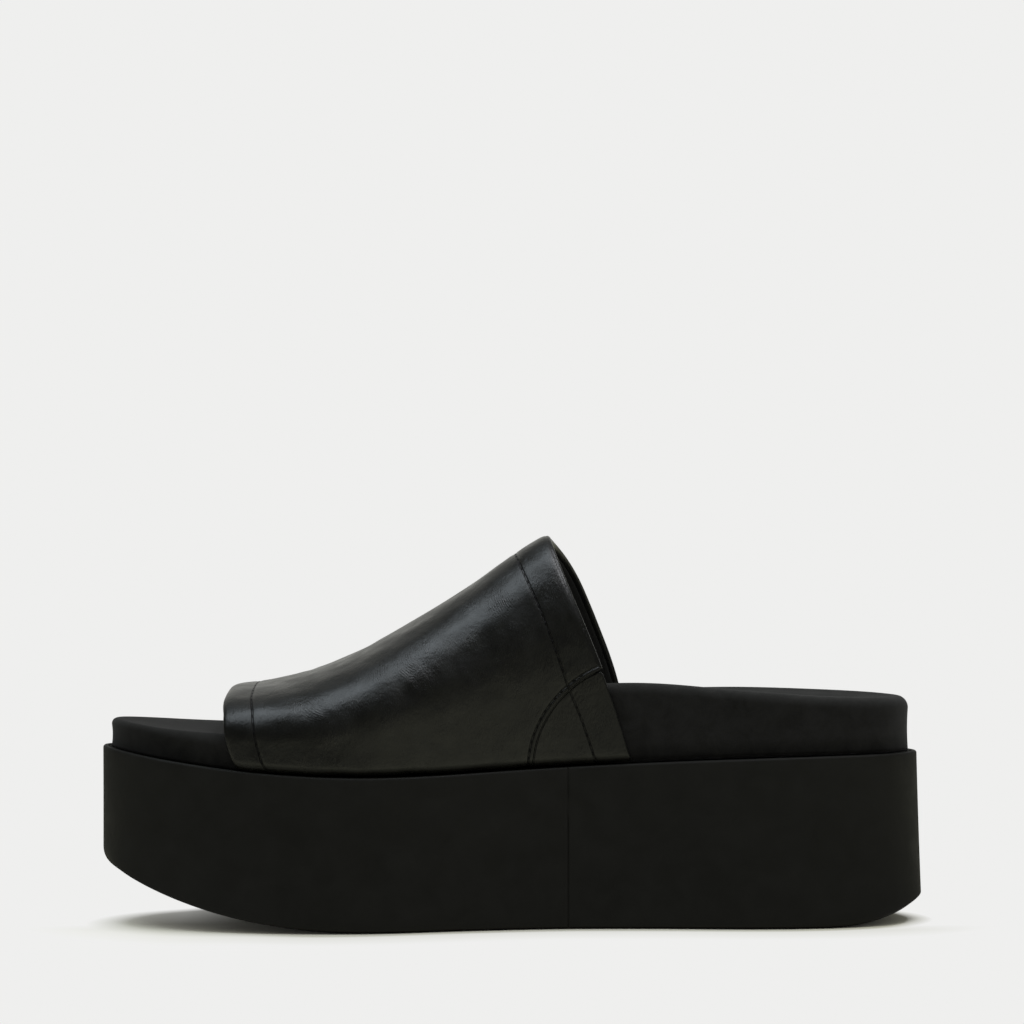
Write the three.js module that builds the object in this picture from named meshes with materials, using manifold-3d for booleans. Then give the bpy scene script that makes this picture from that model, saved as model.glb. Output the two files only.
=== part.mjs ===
import * as THREE from 'three';
import { mergeVertices } from 'three/addons/utils/BufferGeometryUtils.js';
import Module from 'manifold-3d';

// Platform mule for the right foot, in millimetres, +Z up.
// The toe points along -X and the inner side of the foot faces -Y. The origin is
// on the floor under the middle of the sole.

// Overall sizes of the platform
const soleLength = 258;
const ballWidth = 99;
const heelHeight = 53;
const toeSpring = 20;
const heelLift = 7.2;
const heelDraft = 1.4;
const toeDraft = 0.3;
const wallHollow = 0.6;

// Sheets and blocks of the sole
const outsoleThickness = 3;
const sidewallThickness = 1.6;
const sidewallLift = 0.5;
const edgeRound = 0.8;
const buttSeamGap = 0.4;
const clearance = 0.3;

// Footbed, measured up from the top of the platform
const footbedRise = 17;
const footbedRound = 3.4;
const heelCupDepth = 5.5;
const ledgeWidth = 2.7;

// Band over the foot
const instepRise = 51;
const bandWall = 2;
const hemFold = 0.5;
const toeHemWidth = 9.5;
const throatHemWidth = 10.4;
const hemRamp = 0.8;
const turnInnerRadius = 0.5;
const turnRadius = bandWall + hemFold + turnInnerRadius;
const turnedMargin = 7;
const edgeBulge = 0.7;
const sideEase = 0.1;

// Corner panel on the inner side, set below the face of the band
const quarterStep = 0.35;
const quarterThickness = 0.8;
const quarterLength = 31;
const quarterHeight = 31;

// How far a cutting body stands past the body that it cuts
const reach = 2;

// How finely the curved faces are drawn
const outlinePoints = 80;
const archRows = 13;
const bandStations = 17;
const quarterSegments = 16;
const edgeSampleCount = 400;
const edgeColumnRows = 32;

const heelX = soleLength / 2;
const medial = -1;
const lateral = 1;

// Every table below has its places as shares of the sole length, measured from the heel.

// Plan outline of the platform's foot, anticlockwise from the heel. The column across
// is a share of the ball width, minus towards the inner side.
const outlineTable = [
  { fromHeel: 0.000, across: -0.005 },
  { fromHeel: 0.035, across: 0.205 },
  { fromHeel: 0.120, across: 0.318 },
  { fromHeel: 0.250, across: 0.342 },
  { fromHeel: 0.400, across: 0.376 },
  { fromHeel: 0.550, across: 0.455 },
  { fromHeel: 0.660, across: 0.500 },
  { fromHeel: 0.770, across: 0.480 },
  { fromHeel: 0.870, across: 0.392 },
  { fromHeel: 0.950, across: 0.252 },
  { fromHeel: 0.990, across: 0.100 },
  { fromHeel: 1.000, across: -0.030 },
  { fromHeel: 0.985, across: -0.165 },
  { fromHeel: 0.940, across: -0.310 },
  { fromHeel: 0.860, across: -0.432 },
  { fromHeel: 0.760, across: -0.494 },
  { fromHeel: 0.660, across: -0.492 },
  { fromHeel: 0.550, across: -0.412 },
  { fromHeel: 0.440, across: -0.354 },
  { fromHeel: 0.340, across: -0.348 },
  { fromHeel: 0.200, across: -0.362 },
  { fromHeel: 0.110, across: -0.325 },
  { fromHeel: 0.035, across: -0.212 },
];

// Top edge of the platform above the floor, as a share of the heel height.
const rimTable = [
  { fromHeel: 0.00, height: 1.000 },
  { fromHeel: 0.12, height: 0.996 },
  { fromHeel: 0.24, height: 0.980 },
  { fromHeel: 0.36, height: 0.955 },
  { fromHeel: 0.48, height: 0.925 },
  { fromHeel: 0.60, height: 0.896 },
  { fromHeel: 0.70, height: 0.892 },
  { fromHeel: 0.80, height: 0.918 },
  { fromHeel: 0.90, height: 0.970 },
  { fromHeel: 1.00, height: 1.036 },
];

// Rise of the footbed's edge on each side, as shares of the footbed rise, and the dish
// of its top as a share of the heel cup's depth.
const footbedTable = [
  { fromHeel: 0.00, inner: 0.98, outer: 0.98, dish: 1.00 },
  { fromHeel: 0.12, inner: 1.05, outer: 1.05, dish: 1.00 },
  { fromHeel: 0.24, inner: 1.24, outer: 1.13, dish: 0.95 },
  { fromHeel: 0.36, inner: 1.46, outer: 1.12, dish: 0.85 },
  { fromHeel: 0.46, inner: 1.44, outer: 1.02, dish: 0.70 },
  { fromHeel: 0.56, inner: 1.18, outer: 0.89, dish: 0.50 },
  { fromHeel: 0.66, inner: 0.90, outer: 0.77, dish: 0.35 },
  { fromHeel: 0.76, inner: 0.70, outer: 0.67, dish: 0.25 },
  { fromHeel: 0.88, inner: 0.56, outer: 0.56, dish: 0.15 },
  { fromHeel: 0.95, inner: 0.52, outer: 0.52, dish: 0.12 },
  { fromHeel: 1.00, inner: 0.51, outer: 0.51, dish: 0.10 },
];

// Sections of the band over the foot: height of its ridge above the footbed's edges as
// a share of the instep rise, ridge place as a share of the ball width, and how full
// the arch is at its side and at its top, 0 for a straight slope and 1 for a box.
const bandTable = [
  { fromHeel: 0.30, ridge: 1.32, ridgeAcross: -0.060, side: 0.52, top: 0.50 },
  { fromHeel: 0.40, ridge: 1.13, ridgeAcross: -0.060, side: 0.52, top: 0.50 },
  { fromHeel: 0.48, ridge: 0.945, ridgeAcross: -0.060, side: 0.53, top: 0.52 },
  { fromHeel: 0.55, ridge: 0.775, ridgeAcross: -0.055, side: 0.55, top: 0.55 },
  { fromHeel: 0.62, ridge: 0.618, ridgeAcross: -0.050, side: 0.58, top: 0.58 },
  { fromHeel: 0.70, ridge: 0.450, ridgeAcross: -0.045, side: 0.62, top: 0.60 },
  { fromHeel: 0.77, ridge: 0.336, ridgeAcross: -0.040, side: 0.66, top: 0.62 },
  { fromHeel: 0.85, ridge: 0.262, ridgeAcross: -0.035, side: 0.70, top: 0.64 },
  { fromHeel: 0.92, ridge: 0.215, ridgeAcross: -0.030, side: 0.72, top: 0.64 },
];

// Where the two open edges of the band run, at the ridge and at the foot of each side,
// and how far each side of the edge bows out towards the heel on its way up.
const toeOpening = { ridge: 0.838, inner: 0.826, outer: 0.806, innerBow: -0.011, outerBow: -0.008 };
const throat = { ridge: 0.458, inner: 0.357, outer: 0.357, innerBow: 0.008, outerBow: 0.023 };

// Smooth curve through one column of a table, by place from the heel.
function column(table, name) {
  const slopeAt = (i) => {
    const before = table[Math.max(i - 1, 0)];
    const after = table[Math.min(i + 1, table.length - 1)];
    return (after[name] - before[name]) / (after.fromHeel - before.fromHeel);
  };
  return (share) => {
    const s = THREE.MathUtils.clamp(share, table[0].fromHeel, table[table.length - 1].fromHeel);
    const found = table.findIndex((row) => row.fromHeel >= s);
    const i = Math.max(found - 1, 0);
    const span = table[i + 1].fromHeel - table[i].fromHeel;
    const t = (s - table[i].fromHeel) / span;
    const start = table[i][name];
    const rise = table[i + 1][name] - start;
    const bendIn = slopeAt(i) * span - rise;
    const bendOut = rise - slopeAt(i + 1) * span;
    return start + rise * t + t * (1 - t) * (bendIn * (1 - t) + bendOut * t);
  };
}

const fromHeel = (x) => (heelX - x) / soleLength;
const placeX = (share) => heelX - share * soleLength;

// Heights above the floor
const rimShare = column(rimTable, 'height');
const platformTop = (x) => heelHeight * rimShare(fromHeel(x));
const toeRockerStart = 0.663;
const heelRockerStart = 0.12;

function platformBottom(x) {
  const toe = Math.max(0, (fromHeel(x) - toeRockerStart) / (1 - toeRockerStart));
  const heel = Math.max(0, (heelRockerStart - fromHeel(x)) / heelRockerStart);
  return toeSpring * toe ** 2 + heelLift * heel ** 2;
}

// Plan outline and its inward offsets
const outline = new THREE.CatmullRomCurve3(
  outlineTable.map((row) => new THREE.Vector3(placeX(row.fromHeel), row.across * ballWidth, 0)),
  true,
  'centripetal',
);
outline.arcLengthDivisions = 1200;

function outlinePoint(turn, inset) {
  const at = outline.getPointAt(turn % 1);
  const direction = outline.getTangentAt(turn % 1);
  return new THREE.Vector2(at.x - direction.y * inset, at.y + direction.x * inset);
}

// The side leans in towards the top, most at the heel.
const draft = (x) => THREE.MathUtils.lerp(heelDraft, toeDraft, fromHeel(x));

// A closed ring inside the outline; inset and height depend on the place.
function ring(inset, height) {
  return Array.from({ length: outlinePoints }, (_, i) => {
    const turn = i / outlinePoints;
    const p = outlinePoint(turn, inset(outlinePoint(turn, 0).x));
    return new THREE.Vector3(p.x, p.y, height(p.x, p.y));
  });
}

// The middle line of the sole, which the inner rings of a face close in on.
const spineTable = [
  { fromHeel: 0.13, across: -0.012 },
  { fromHeel: 0.40, across: 0.008 },
  { fromHeel: 0.66, across: 0.002 },
  { fromHeel: 0.86, across: -0.020 },
];
const spineAcross = column(spineTable, 'across');

function spinePoint(x) {
  const last = spineTable.length - 1;
  const share = THREE.MathUtils.clamp(fromHeel(x), spineTable[0].fromHeel, spineTable[last].fromHeel);
  return new THREE.Vector2(placeX(share), spineAcross(share) * ballWidth);
}

// A ring drawn in from another one towards the middle line, by a share of the way.
function drawnIn(from, share, height) {
  return from.map((p) => {
    const middle = spinePoint(p.x);
    const x = THREE.MathUtils.lerp(p.x, middle.x, share);
    const y = THREE.MathUtils.lerp(p.y, middle.y, share);
    return new THREE.Vector3(x, y, height(x, y, share));
  });
}

// A face of triangles between two rings of the same number of points
function joinRings(faces, lower, upper, count) {
  for (let i = 0; i < count; i++) {
    const next = (i + 1) % count;
    faces.push(lower + i, lower + next, upper + next);
    faces.push(lower + i, upper + next, upper + i);
  }
}

function toGeometry(points, faces) {
  const geometry = new THREE.BufferGeometry();
  const numbers = points.flatMap((p) => [p.x, p.y, p.z]);
  geometry.setAttribute('position', new THREE.Float32BufferAttribute(numbers, 3));
  geometry.setIndex(faces);
  return geometry;
}

// A closed body through stacked rings, anticlockwise from above and from the bottom up.
// The narrow first and last rings are closed by rungs from their outer to their inner side.
function ringBody(rings) {
  const count = rings[0].length;
  const faces = [];
  for (let k = 0; k + 1 < rings.length; k++) {
    joinRings(faces, k * count, (k + 1) * count, count);
  }
  const lastStart = (rings.length - 1) * count;
  for (let i = 0; i < count / 2; i++) {
    const [a, b, c, d] = [i, i + 1, count - i - 1, (count - i) % count];
    const corners = i === 0 ? [[a, b, c]] : [[a, b, c], [a, c, d]];
    for (const [p, q, r] of corners.filter(([, q2, r2]) => q2 !== r2)) {
      faces.push(p, r, q);
      faces.push(lastStart + p, lastStart + q, lastStart + r);
    }
  }
  return toGeometry(rings.flat(), faces);
}

// A closed body swept along a row of sections, each the same closed loop of points
function sweptBody(sections) {
  const count = sections[0].length;
  const faces = [];
  for (let k = 0; k + 1 < sections.length; k++) {
    joinRings(faces, k * count, (k + 1) * count, count);
  }
  const lastStart = (sections.length - 1) * count;
  for (let i = 1; i + 1 < count; i++) {
    faces.push(0, i + 1, i);
    faces.push(lastStart, lastStart + i, lastStart + i + 1);
  }
  return toGeometry(sections.flat(), faces);
}

// Closed bodies go to the boolean library and come back through these two.
const wasm = await Module();
wasm.setup();

function toSolid(geometry) {
  return new wasm.Manifold(new wasm.Mesh({
    numProp: 3,
    vertProperties: new Float32Array(geometry.attributes.position.array),
    triVerts: new Uint32Array(geometry.index.array),
  }));
}

function fromSolid(solid) {
  const mesh = solid.getMesh();
  const geometry = new THREE.BufferGeometry();
  geometry.setAttribute('position', new THREE.BufferAttribute(mesh.vertProperties, 3));
  geometry.setIndex(new THREE.BufferAttribute(mesh.triVerts, 1));
  return geometry;
}

// The inner rings of a flat face, from the edge towards the middle line
const faceRings = [0.4, 0.85];
const faceInside = (from, height) => faceRings.map((share) => drawnIn(from, share, height));

// Outsole: a sheet inside the side cover, with its lower edge eased
function outsole() {
  const inset = () => sidewallThickness + clearance;
  const easedInset = () => inset() + edgeRound;
  const eased = (x) => platformBottom(x) + edgeRound;
  const top = (x) => platformBottom(x) + outsoleThickness;
  const foot = ring(easedInset, platformBottom);
  const rim = ring(inset, top);
  return ringBody([
    ...faceInside(foot, platformBottom).reverse(),
    foot,
    ring(inset, eased),
    rim,
    ...faceInside(rim, top),
  ]);
}

// Midsole: the platform block between outsole and footbed
function midsole() {
  const foot = (x) => platformBottom(x) + outsoleThickness + clearance;
  const bottomRing = ring(() => sidewallThickness + clearance, foot);
  const topRing = ring((x) => sidewallThickness + clearance + draft(x), platformTop);
  return ringBody([
    ...faceInside(bottomRing, foot).reverse(),
    bottomRing,
    topRing,
    ...faceInside(topRing, platformTop),
  ]);
}

// Place of the sidewall's butt seam along the outline, on the inner side at the waist
const buttSeamPlace = 0.43;

function turnAtMedial(share) {
  let low = 0.5;
  let high = 1;
  for (let i = 0; i < 30; i++) {
    const middle = (low + high) / 2;
    if (fromHeel(outlinePoint(middle, 0).x) > share) {
      low = middle;
    } else {
      high = middle;
    }
  }
  return (low + high) / 2;
}

// Sidewall: one strip round the platform, its ends meeting in a butt seam
function sidewall() {
  const halfGap = buttSeamGap / 2 / outline.getLength();
  const start = turnAtMedial(buttSeamPlace) + halfGap;
  const sweep = 1 - 2 * halfGap;
  const steps = outlinePoints;
  const sections = Array.from({ length: steps + 1 }, (_, i) => {
    const turn = start + (sweep * i) / steps;
    const x = outlinePoint(turn, 0).x;
    const foot = platformBottom(x) + sidewallLift;
    const lean = draft(x);
    const at = (inset, height) => {
      const p = outlinePoint(turn, inset);
      return new THREE.Vector3(p.x, p.y, height(p.x));
    };
    const top = (drop) => (px) => platformTop(px) - drop;
    const low = (lift) => () => foot + lift;
    const middle = (px) => (foot + platformTop(px)) / 2;
    const corner = (1 - Math.SQRT1_2) * edgeRound;
    return [
      at(edgeRound, low(0)),
      at(sidewallThickness, low(0)),
      at(lean + sidewallThickness, top(0)),
      at(lean + edgeRound, top(0)),
      at(lean + corner, top(corner)),
      at(lean, top(edgeRound)),
      at(lean * wallHollow, middle),
      at(0, low(edgeRound)),
      at(corner, low(corner)),
    ];
  });
  return sweptBody(sections);
}

// Footbed: side, rounded shoulder and a dished top
const shoulderSteps = [0, 0.25, 0.5, 0.75, 1];
const dishRings = [0.12, 0.27, 0.44, 0.62, 0.85];
const blendHalfWidth = 0.36;
const innerRise = column(footbedTable, 'inner');
const outerRise = column(footbedTable, 'outer');
const dishShare = column(footbedTable, 'dish');

// Share of the way across the sole at a place, 0 on the inner side and 1 on the outer
function acrossShare(y) {
  const half = ballWidth * blendHalfWidth;
  return THREE.MathUtils.smoothstep(y, -half, half);
}

function footbedEdge(x, y) {
  const share = fromHeel(x);
  const rise = THREE.MathUtils.lerp(innerRise(share), outerRise(share), acrossShare(y));
  return platformTop(x) + footbedRise * rise;
}

const footbedInset = (x) => draft(x) + ledgeWidth;

// Its top, dished from the edge inwards; share is the way in towards the middle line.
function footbedTop(x, y, share) {
  const depth = heelCupDepth * dishShare(fromHeel(x));
  return footbedEdge(x, y) - depth * THREE.MathUtils.smoothstep(share, -0.1, 0.75);
}

function footbedBody() {
  const foot = (x) => platformTop(x) - reach;
  const bottomRing = ring(footbedInset, foot);
  const shoulder = shoulderSteps.map((step) => {
    const angle = (step * Math.PI) / 2;
    const inset = footbedRound * (1 - Math.cos(angle));
    const drop = footbedRound * (1 - Math.sin(angle));
    return ring((x) => footbedInset(x) + inset, (x, y) => footbedEdge(x, y) - drop);
  });
  const topRing = shoulder[shoulder.length - 1];
  return ringBody([
    ...faceInside(bottomRing, foot).reverse(),
    bottomRing,
    ...shoulder,
    ...dishRings.map((share) => drawnIn(topRing, share, footbedTop)),
  ]);
}

// Edge of an inset outline on one side of the sole, at a place along it
const edgeSamples = Array.from({ length: edgeSampleCount }, (_, i) => i / edgeSampleCount);

function edgeAcross(x, side, inset) {
  const points = edgeSamples.map((turn) => outlinePoint(turn, inset)).filter((p) => p.y * side > 0);
  points.sort((a, b) => a.x - b.x);
  const after = Math.max(1, points.findIndex((p) => p.x >= x));
  const a = points[after - 1];
  const b = points[after];
  return THREE.MathUtils.mapLinear(x, a.x, b.x, a.y, b.y);
}

// The band's outer face leaves room for its own wall outside the footbed.
const bandInset = (x) => footbedInset(x) - bandWall - clearance - sideEase;

// The side edges as smooth columns, so that sections can be taken anywhere
function edgeColumn(side) {
  const first = bandTable[0].fromHeel;
  const last = bandTable[bandTable.length - 1].fromHeel;
  const table = Array.from({ length: edgeColumnRows }, (_, i) => {
    const share = THREE.MathUtils.lerp(first, last, i / (edgeColumnRows - 1));
    const x = placeX(share);
    return { fromHeel: share, across: edgeAcross(x, side, bandInset(x)) };
  });
  return column(table, 'across');
}
const bandEdge = { [medial]: edgeColumn(medial), [lateral]: edgeColumn(lateral) };
const bandRidge = column(bandTable, 'ridge');
const bandRidgeAcross = column(bandTable, 'ridgeAcross');
const bandSide = column(bandTable, 'side');
const bandTop = column(bandTable, 'top');

// One side of a section, from the inner end of the turned margin up to the ridge
function sideProfile(x, side) {
  const share = fromHeel(x);
  const edge = bandEdge[side](share);
  const base = platformTop(x) + clearance;
  const shoulder = footbedEdge(x, side * ballWidth) - footbedRound / 2;
  const ridge = new THREE.Vector2(
    bandRidgeAcross(share) * ballWidth,
    footbedEdge(x, 0) + instepRise * bandRidge(share),
  );
  const points = [
    new THREE.Vector2(edge - side * (turnRadius + turnedMargin), base),
    new THREE.Vector2(edge - side * (turnRadius + turnedMargin / 2), base),
  ];
  for (const t of [0, 1 / 3, 2 / 3, 1]) {
    const angle = (t * Math.PI) / 2;
    points.push(new THREE.Vector2(
      edge - side * turnRadius * (1 - Math.sin(angle)),
      base + turnRadius * (1 - Math.cos(angle)),
    ));
  }
  points.push(new THREE.Vector2(edge, (base + turnRadius + shoulder) / 2));
  const arch = new THREE.CubicBezierCurve(
    new THREE.Vector2(edge, shoulder),
    new THREE.Vector2(edge, THREE.MathUtils.lerp(shoulder, ridge.y, bandSide(share))),
    new THREE.Vector2(THREE.MathUtils.lerp(ridge.x, edge, bandTop(share)), ridge.y),
    ridge,
  );
  return points.concat(arch.getPoints(archRows));
}

// A whole section, from the inner side over the ridge to the outer side
function bandSection(x) {
  const inner = sideProfile(x, medial);
  const outer = sideProfile(x, lateral).reverse();
  return inner.concat(outer.slice(1));
}
const sectionRows = bandSection(0).length;

// Place of an open edge on a row: it runs from the foot of the side to the ridge by height.
function edgePlace(opening, row) {
  const onInnerSide = row < (sectionRows - 1) / 2;
  const foot = onInnerSide ? opening.inner : opening.outer;
  const bow = onInnerSide ? opening.innerBow : opening.outerBow;
  let x = placeX(foot);
  for (let i = 0; i < 8; i++) {
    const section = bandSection(x);
    const low = section[0].y;
    const high = bandSection(placeX(opening.ridge))[(sectionRows - 1) / 2].y;
    const t = THREE.MathUtils.clamp((section[row].y - low) / (high - low), 0, 1);
    x = placeX(THREE.MathUtils.lerp(foot, opening.ridge, t) - bow * 4 * t * (1 - t));
  }
  return x;
}

// Places along a row: the two hems keep their width, the rest is shared out.
function stationsOf(front, back) {
  const start = front + toeHemWidth + hemRamp;
  const end = back - throatHemWidth - hemRamp;
  const place = (i) => THREE.MathUtils.lerp(start, end, i / (bandStations - 1));
  const between = Array.from({ length: bandStations }, (_, i) => place(i));
  return [front, front + toeHemWidth / 2, front + toeHemWidth]
    .concat(between)
    .concat([back - throatHemWidth, back - throatHemWidth / 2, back]);
}
const stationCount = stationsOf(0, 1).length;
const isHem = (station) => station < 3 || station > stationCount - 4;

// The outer face of the band, a list of rows with a point for each station
const bandFace = Array.from({ length: sectionRows }, (_, row) => {
  const stations = stationsOf(edgePlace(toeOpening, row), edgePlace(throat, row));
  return stations.map((x) => {
    const p = bandSection(x)[row];
    return new THREE.Vector3(x, p.x, p.y);
  });
});

// Outward normals of that face, from its neighbouring points
const bandNormals = bandFace.map((row, i) => row.map((_, j) => {
  const rowBefore = bandFace[Math.max(i - 1, 0)][j];
  const rowAfter = bandFace[Math.min(i + 1, sectionRows - 1)][j];
  const alongBefore = row[Math.max(j - 1, 0)];
  const alongAfter = row[Math.min(j + 1, stationCount - 1)];
  const around = new THREE.Vector3().subVectors(rowAfter, rowBefore);
  const along = new THREE.Vector3().subVectors(alongAfter, alongBefore);
  return around.cross(along).negate().normalize();
}));

// A layer of the band between two depths below its face; depths take row and station.
function bandLayer(outerDepth, innerDepth, bulge) {
  const at = (i, j, depth) => bandFace[i][j].clone().addScaledVector(bandNormals[i][j], -depth(i, j));
  const lastRow = sectionRows - 1;
  const lastStation = stationCount - 1;
  // Places round the border of the sheet, each with its neighbour further in
  const border = [];
  for (let j = 0; j < lastStation; j++) {
    border.push([0, j, 1, j]);
  }
  for (let i = 0; i < lastRow; i++) {
    border.push([i, lastStation, i, lastStation - 1]);
  }
  for (let j = lastStation; j > 0; j--) {
    border.push([lastRow, j, lastRow - 1, j]);
  }
  for (let i = lastRow; i > 0; i--) {
    border.push([i, 0, i, 1]);
  }
  const points = [];
  const sheet = (depth) => {
    const start = points.length;
    for (let i = 0; i < sectionRows; i++) {
      for (let j = 0; j < stationCount; j++) {
        points.push(at(i, j, depth));
      }
    }
    return start;
  };
  const outerStart = sheet(outerDepth);
  const innerStart = sheet(innerDepth);
  const middleStart = points.length;
  for (const [i, j, inI, inJ] of border) {
    const middle = at(i, j, outerDepth).add(at(i, j, innerDepth)).multiplyScalar(0.5);
    const out = bandFace[i][j].clone().sub(bandFace[inI][inJ]).normalize();
    points.push(middle.addScaledVector(out, bulge));
  }
  const faces = [];
  const index = (start, i, j) => start + i * stationCount + j;
  for (let i = 0; i < lastRow; i++) {
    for (let j = 0; j < lastStation; j++) {
      const [a, b, c, d] = [[i, j], [i, j + 1], [i + 1, j + 1], [i + 1, j]];
      faces.push(index(outerStart, ...a), index(outerStart, ...b), index(outerStart, ...c));
      faces.push(index(outerStart, ...a), index(outerStart, ...c), index(outerStart, ...d));
      faces.push(index(innerStart, ...a), index(innerStart, ...c), index(innerStart, ...b));
      faces.push(index(innerStart, ...a), index(innerStart, ...d), index(innerStart, ...c));
    }
  }
  border.forEach(([i, j], k) => {
    const [nextI, nextJ] = border[(k + 1) % border.length];
    const middle = middleStart + k;
    const nextMiddle = middleStart + ((k + 1) % border.length);
    for (const [start, flip] of [[outerStart, false], [innerStart, true]]) {
      const here = index(start, i, j);
      const next = index(start, nextI, nextJ);
      const quad = [[here, middle, nextMiddle], [here, nextMiddle, next]];
      for (const [a, b, c] of quad) {
        faces.push(...(flip ? [a, c, b] : [a, b, c]));
      }
    }
  });
  return toGeometry(points, faces);
}

// The corner panel's region: a block through the inner side, under a quarter of an
// ellipse that rises from the foot of the band to the throat
function quarterBlock(margin) {
  const rear = placeX(throat.inner);
  const foot = platformTop(rear);
  const length = quarterLength + margin;
  const height = quarterHeight + margin;
  const shape = new THREE.Shape();
  shape.moveTo(rear + length, foot - height);
  shape.lineTo(rear - length, foot - height);
  shape.lineTo(rear - length, foot);
  shape.absellipse(rear, foot, length, height, Math.PI, Math.PI / 2, true);
  shape.lineTo(rear + length, foot + height);
  shape.closePath();
  const settings = { depth: ballWidth, bevelEnabled: false, curveSegments: quarterSegments };
  const block = new THREE.ExtrudeGeometry(shape, settings);
  block.rotateX(Math.PI / 2);
  block.deleteAttribute('normal');
  block.deleteAttribute('uv');
  return mergeVertices(block, 1e-4);
}

const wallDepth = (i, j) => bandWall + (isHem(j) ? hemFold : 0);
const recessDepth = quarterStep + quarterThickness + clearance;

// Upper: the whole band, with a recess in its face for the corner panel, where only
// the part of its wall below the recess is left
function upper() {
  const band = toSolid(bandLayer(() => 0, wallDepth, edgeBulge));
  const belowRecess = toSolid(bandLayer(() => recessDepth, () => recessDepth + bandWall, reach));
  return fromSolid(band.subtract(toSolid(quarterBlock(0)).subtract(belowRecess)));
}

// Quarter: the corner panel that lies in that recess
function quarter() {
  const panel = toSolid(bandLayer(() => quarterStep, () => quarterStep + quarterThickness, edgeBulge / 2));
  return fromSolid(panel.intersect(toSolid(quarterBlock(-clearance))));
}

// Footbed: its body, cut to seat on the platform, over the band's turned margin and
// beside its hems
function footbed() {
  const platform = toSolid(midsole().translate(0, 0, clearance));
  const bandSpace = toSolid(bandLayer(() => -1, (i, j) => wallDepth(i, j) + clearance, reach));
  return fromSolid(toSolid(footbedBody()).subtract(platform).subtract(bandSpace));
}

const rubber = new THREE.MeshStandardMaterial({ color: 0x1b1b1a, roughness: 0.75, metalness: 0 });
const foam = new THREE.MeshStandardMaterial({ color: 0x1e1e1e, roughness: 0.9, metalness: 0 });
const bedCover = new THREE.MeshStandardMaterial({ color: 0x222222, roughness: 0.95, metalness: 0 });
const leather = new THREE.MeshStandardMaterial({ color: 0x1f1f20, roughness: 0.42, metalness: 0 });

const pieces = [
  ['outsole', outsole(), rubber],
  ['midsole', midsole(), foam],
  ['sidewall', sidewall(), rubber],
  ['footbed', footbed(), bedCover],
  ['upper', upper(), leather],
  ['quarter', quarter(), leather],
];

const mule = new THREE.Group();
for (const [name, geometry, material] of pieces) {
  const mesh = new THREE.Mesh(geometry, material);
  mesh.name = name;
  mule.add(mesh);
}

export default mule;
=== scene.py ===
from math import cos, pi, sin, tau

import bpy
import numpy as np
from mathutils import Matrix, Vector


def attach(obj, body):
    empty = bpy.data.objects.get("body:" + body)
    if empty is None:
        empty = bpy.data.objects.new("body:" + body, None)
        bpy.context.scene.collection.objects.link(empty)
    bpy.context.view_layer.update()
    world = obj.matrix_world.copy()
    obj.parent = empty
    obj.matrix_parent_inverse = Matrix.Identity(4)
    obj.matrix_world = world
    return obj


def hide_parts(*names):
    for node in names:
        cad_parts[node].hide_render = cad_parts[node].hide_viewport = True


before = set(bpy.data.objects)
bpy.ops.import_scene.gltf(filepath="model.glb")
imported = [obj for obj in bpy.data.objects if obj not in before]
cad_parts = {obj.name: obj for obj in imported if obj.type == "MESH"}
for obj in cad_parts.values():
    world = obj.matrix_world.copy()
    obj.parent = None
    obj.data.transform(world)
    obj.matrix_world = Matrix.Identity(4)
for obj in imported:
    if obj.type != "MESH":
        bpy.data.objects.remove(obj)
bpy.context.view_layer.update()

rng = np.random.default_rng(7)

# Lengths are in millimetres and become metres when a mesh is made; places in materials,
# lights and camera are in metres. +X runs from toe to heel and -Y towards the inner side.
MM = 0.001

# Sizes that the solids have too
SOLE_LENGTH = 258
BALL_WIDTH = 99
HEEL_HEIGHT = 53
TOE_SPRING = 20
HEEL_LIFT = 7.2
HEEL_DRAFT = 1.4
TOE_DRAFT = 0.3
OUTSOLE_THICKNESS = 3
SIDEWALL_THICKNESS = 1.6
SIDEWALL_LIFT = 0.5
EDGE_ROUND = 0.8
CLEARANCE = 0.3
FOOTBED_RISE = 17
FOOTBED_ROUND = 3.4
HEEL_CUP_DEPTH = 5.5
LEDGE_WIDTH = 2.7
INSTEP_RISE = 51
BAND_WALL = 2
HEM_FOLD = 0.5
SIDE_EASE = 0.1
TOE_HEM = (9.0, 7.6)
THROAT_HEM = (10.6, 9.4)
TURN_RADIUS = 3
TURNED_MARGIN = 7
QUARTER_LENGTH = 30.6
QUARTER_HEIGHT = 31
QUARTER_STEP = 0.35
TOE_ROCKER_START = 0.663
HEEL_ROCKER_START = 0.12
BUTT_SEAM_PLACE = 0.433
HEEL_X = SOLE_LENGTH / 2

# Finer sizes that only this file has; the toe's rocker runs lower by its fullness than the solids'
ROCKER_FULLNESS = 4.4
TOE_TUCK = 0.35
TOE_LIFT = 0.15
TOE_CORNER = 2.2
COVER_CHAMFER = 0.25
COVER_UNEVEN = 0.1
BUTT_SEAM_HALF_GAP = 0.05
SHEET_GAP = 0.1
TREAD_PITCH = 6.4
TREAD_WIDTH = 16
TREAD_BOW = 5.5
TREAD_DEPTH = 1.0
SHOULDER_LIFT = 0.38
SHOULDER_ROUND = (3.7, 2.1)
MARGIN_ROOM = 3.2
MARGIN_REACH = 10.5
FOOTBED_TUCK = 0.5
BED_HOLLOW = 0.25
BED_UNEVEN = 0.18
QUARTER_FULLNESS = 1.85
QUARTER_TRIM = 0.4
SEAM_MARGIN = 1.2
LINING_THICKNESS = 0.3
LINING_ROOM = LINING_THICKNESS * 1.15
BAND_DRAWN_IN = 0.4
HEM_PUFF = {"toe": 0.2, "throat": 0.16, "panel": 0.1}
HEM_ROUNDS = 7
INNER_BULGE = 0.12

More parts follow.
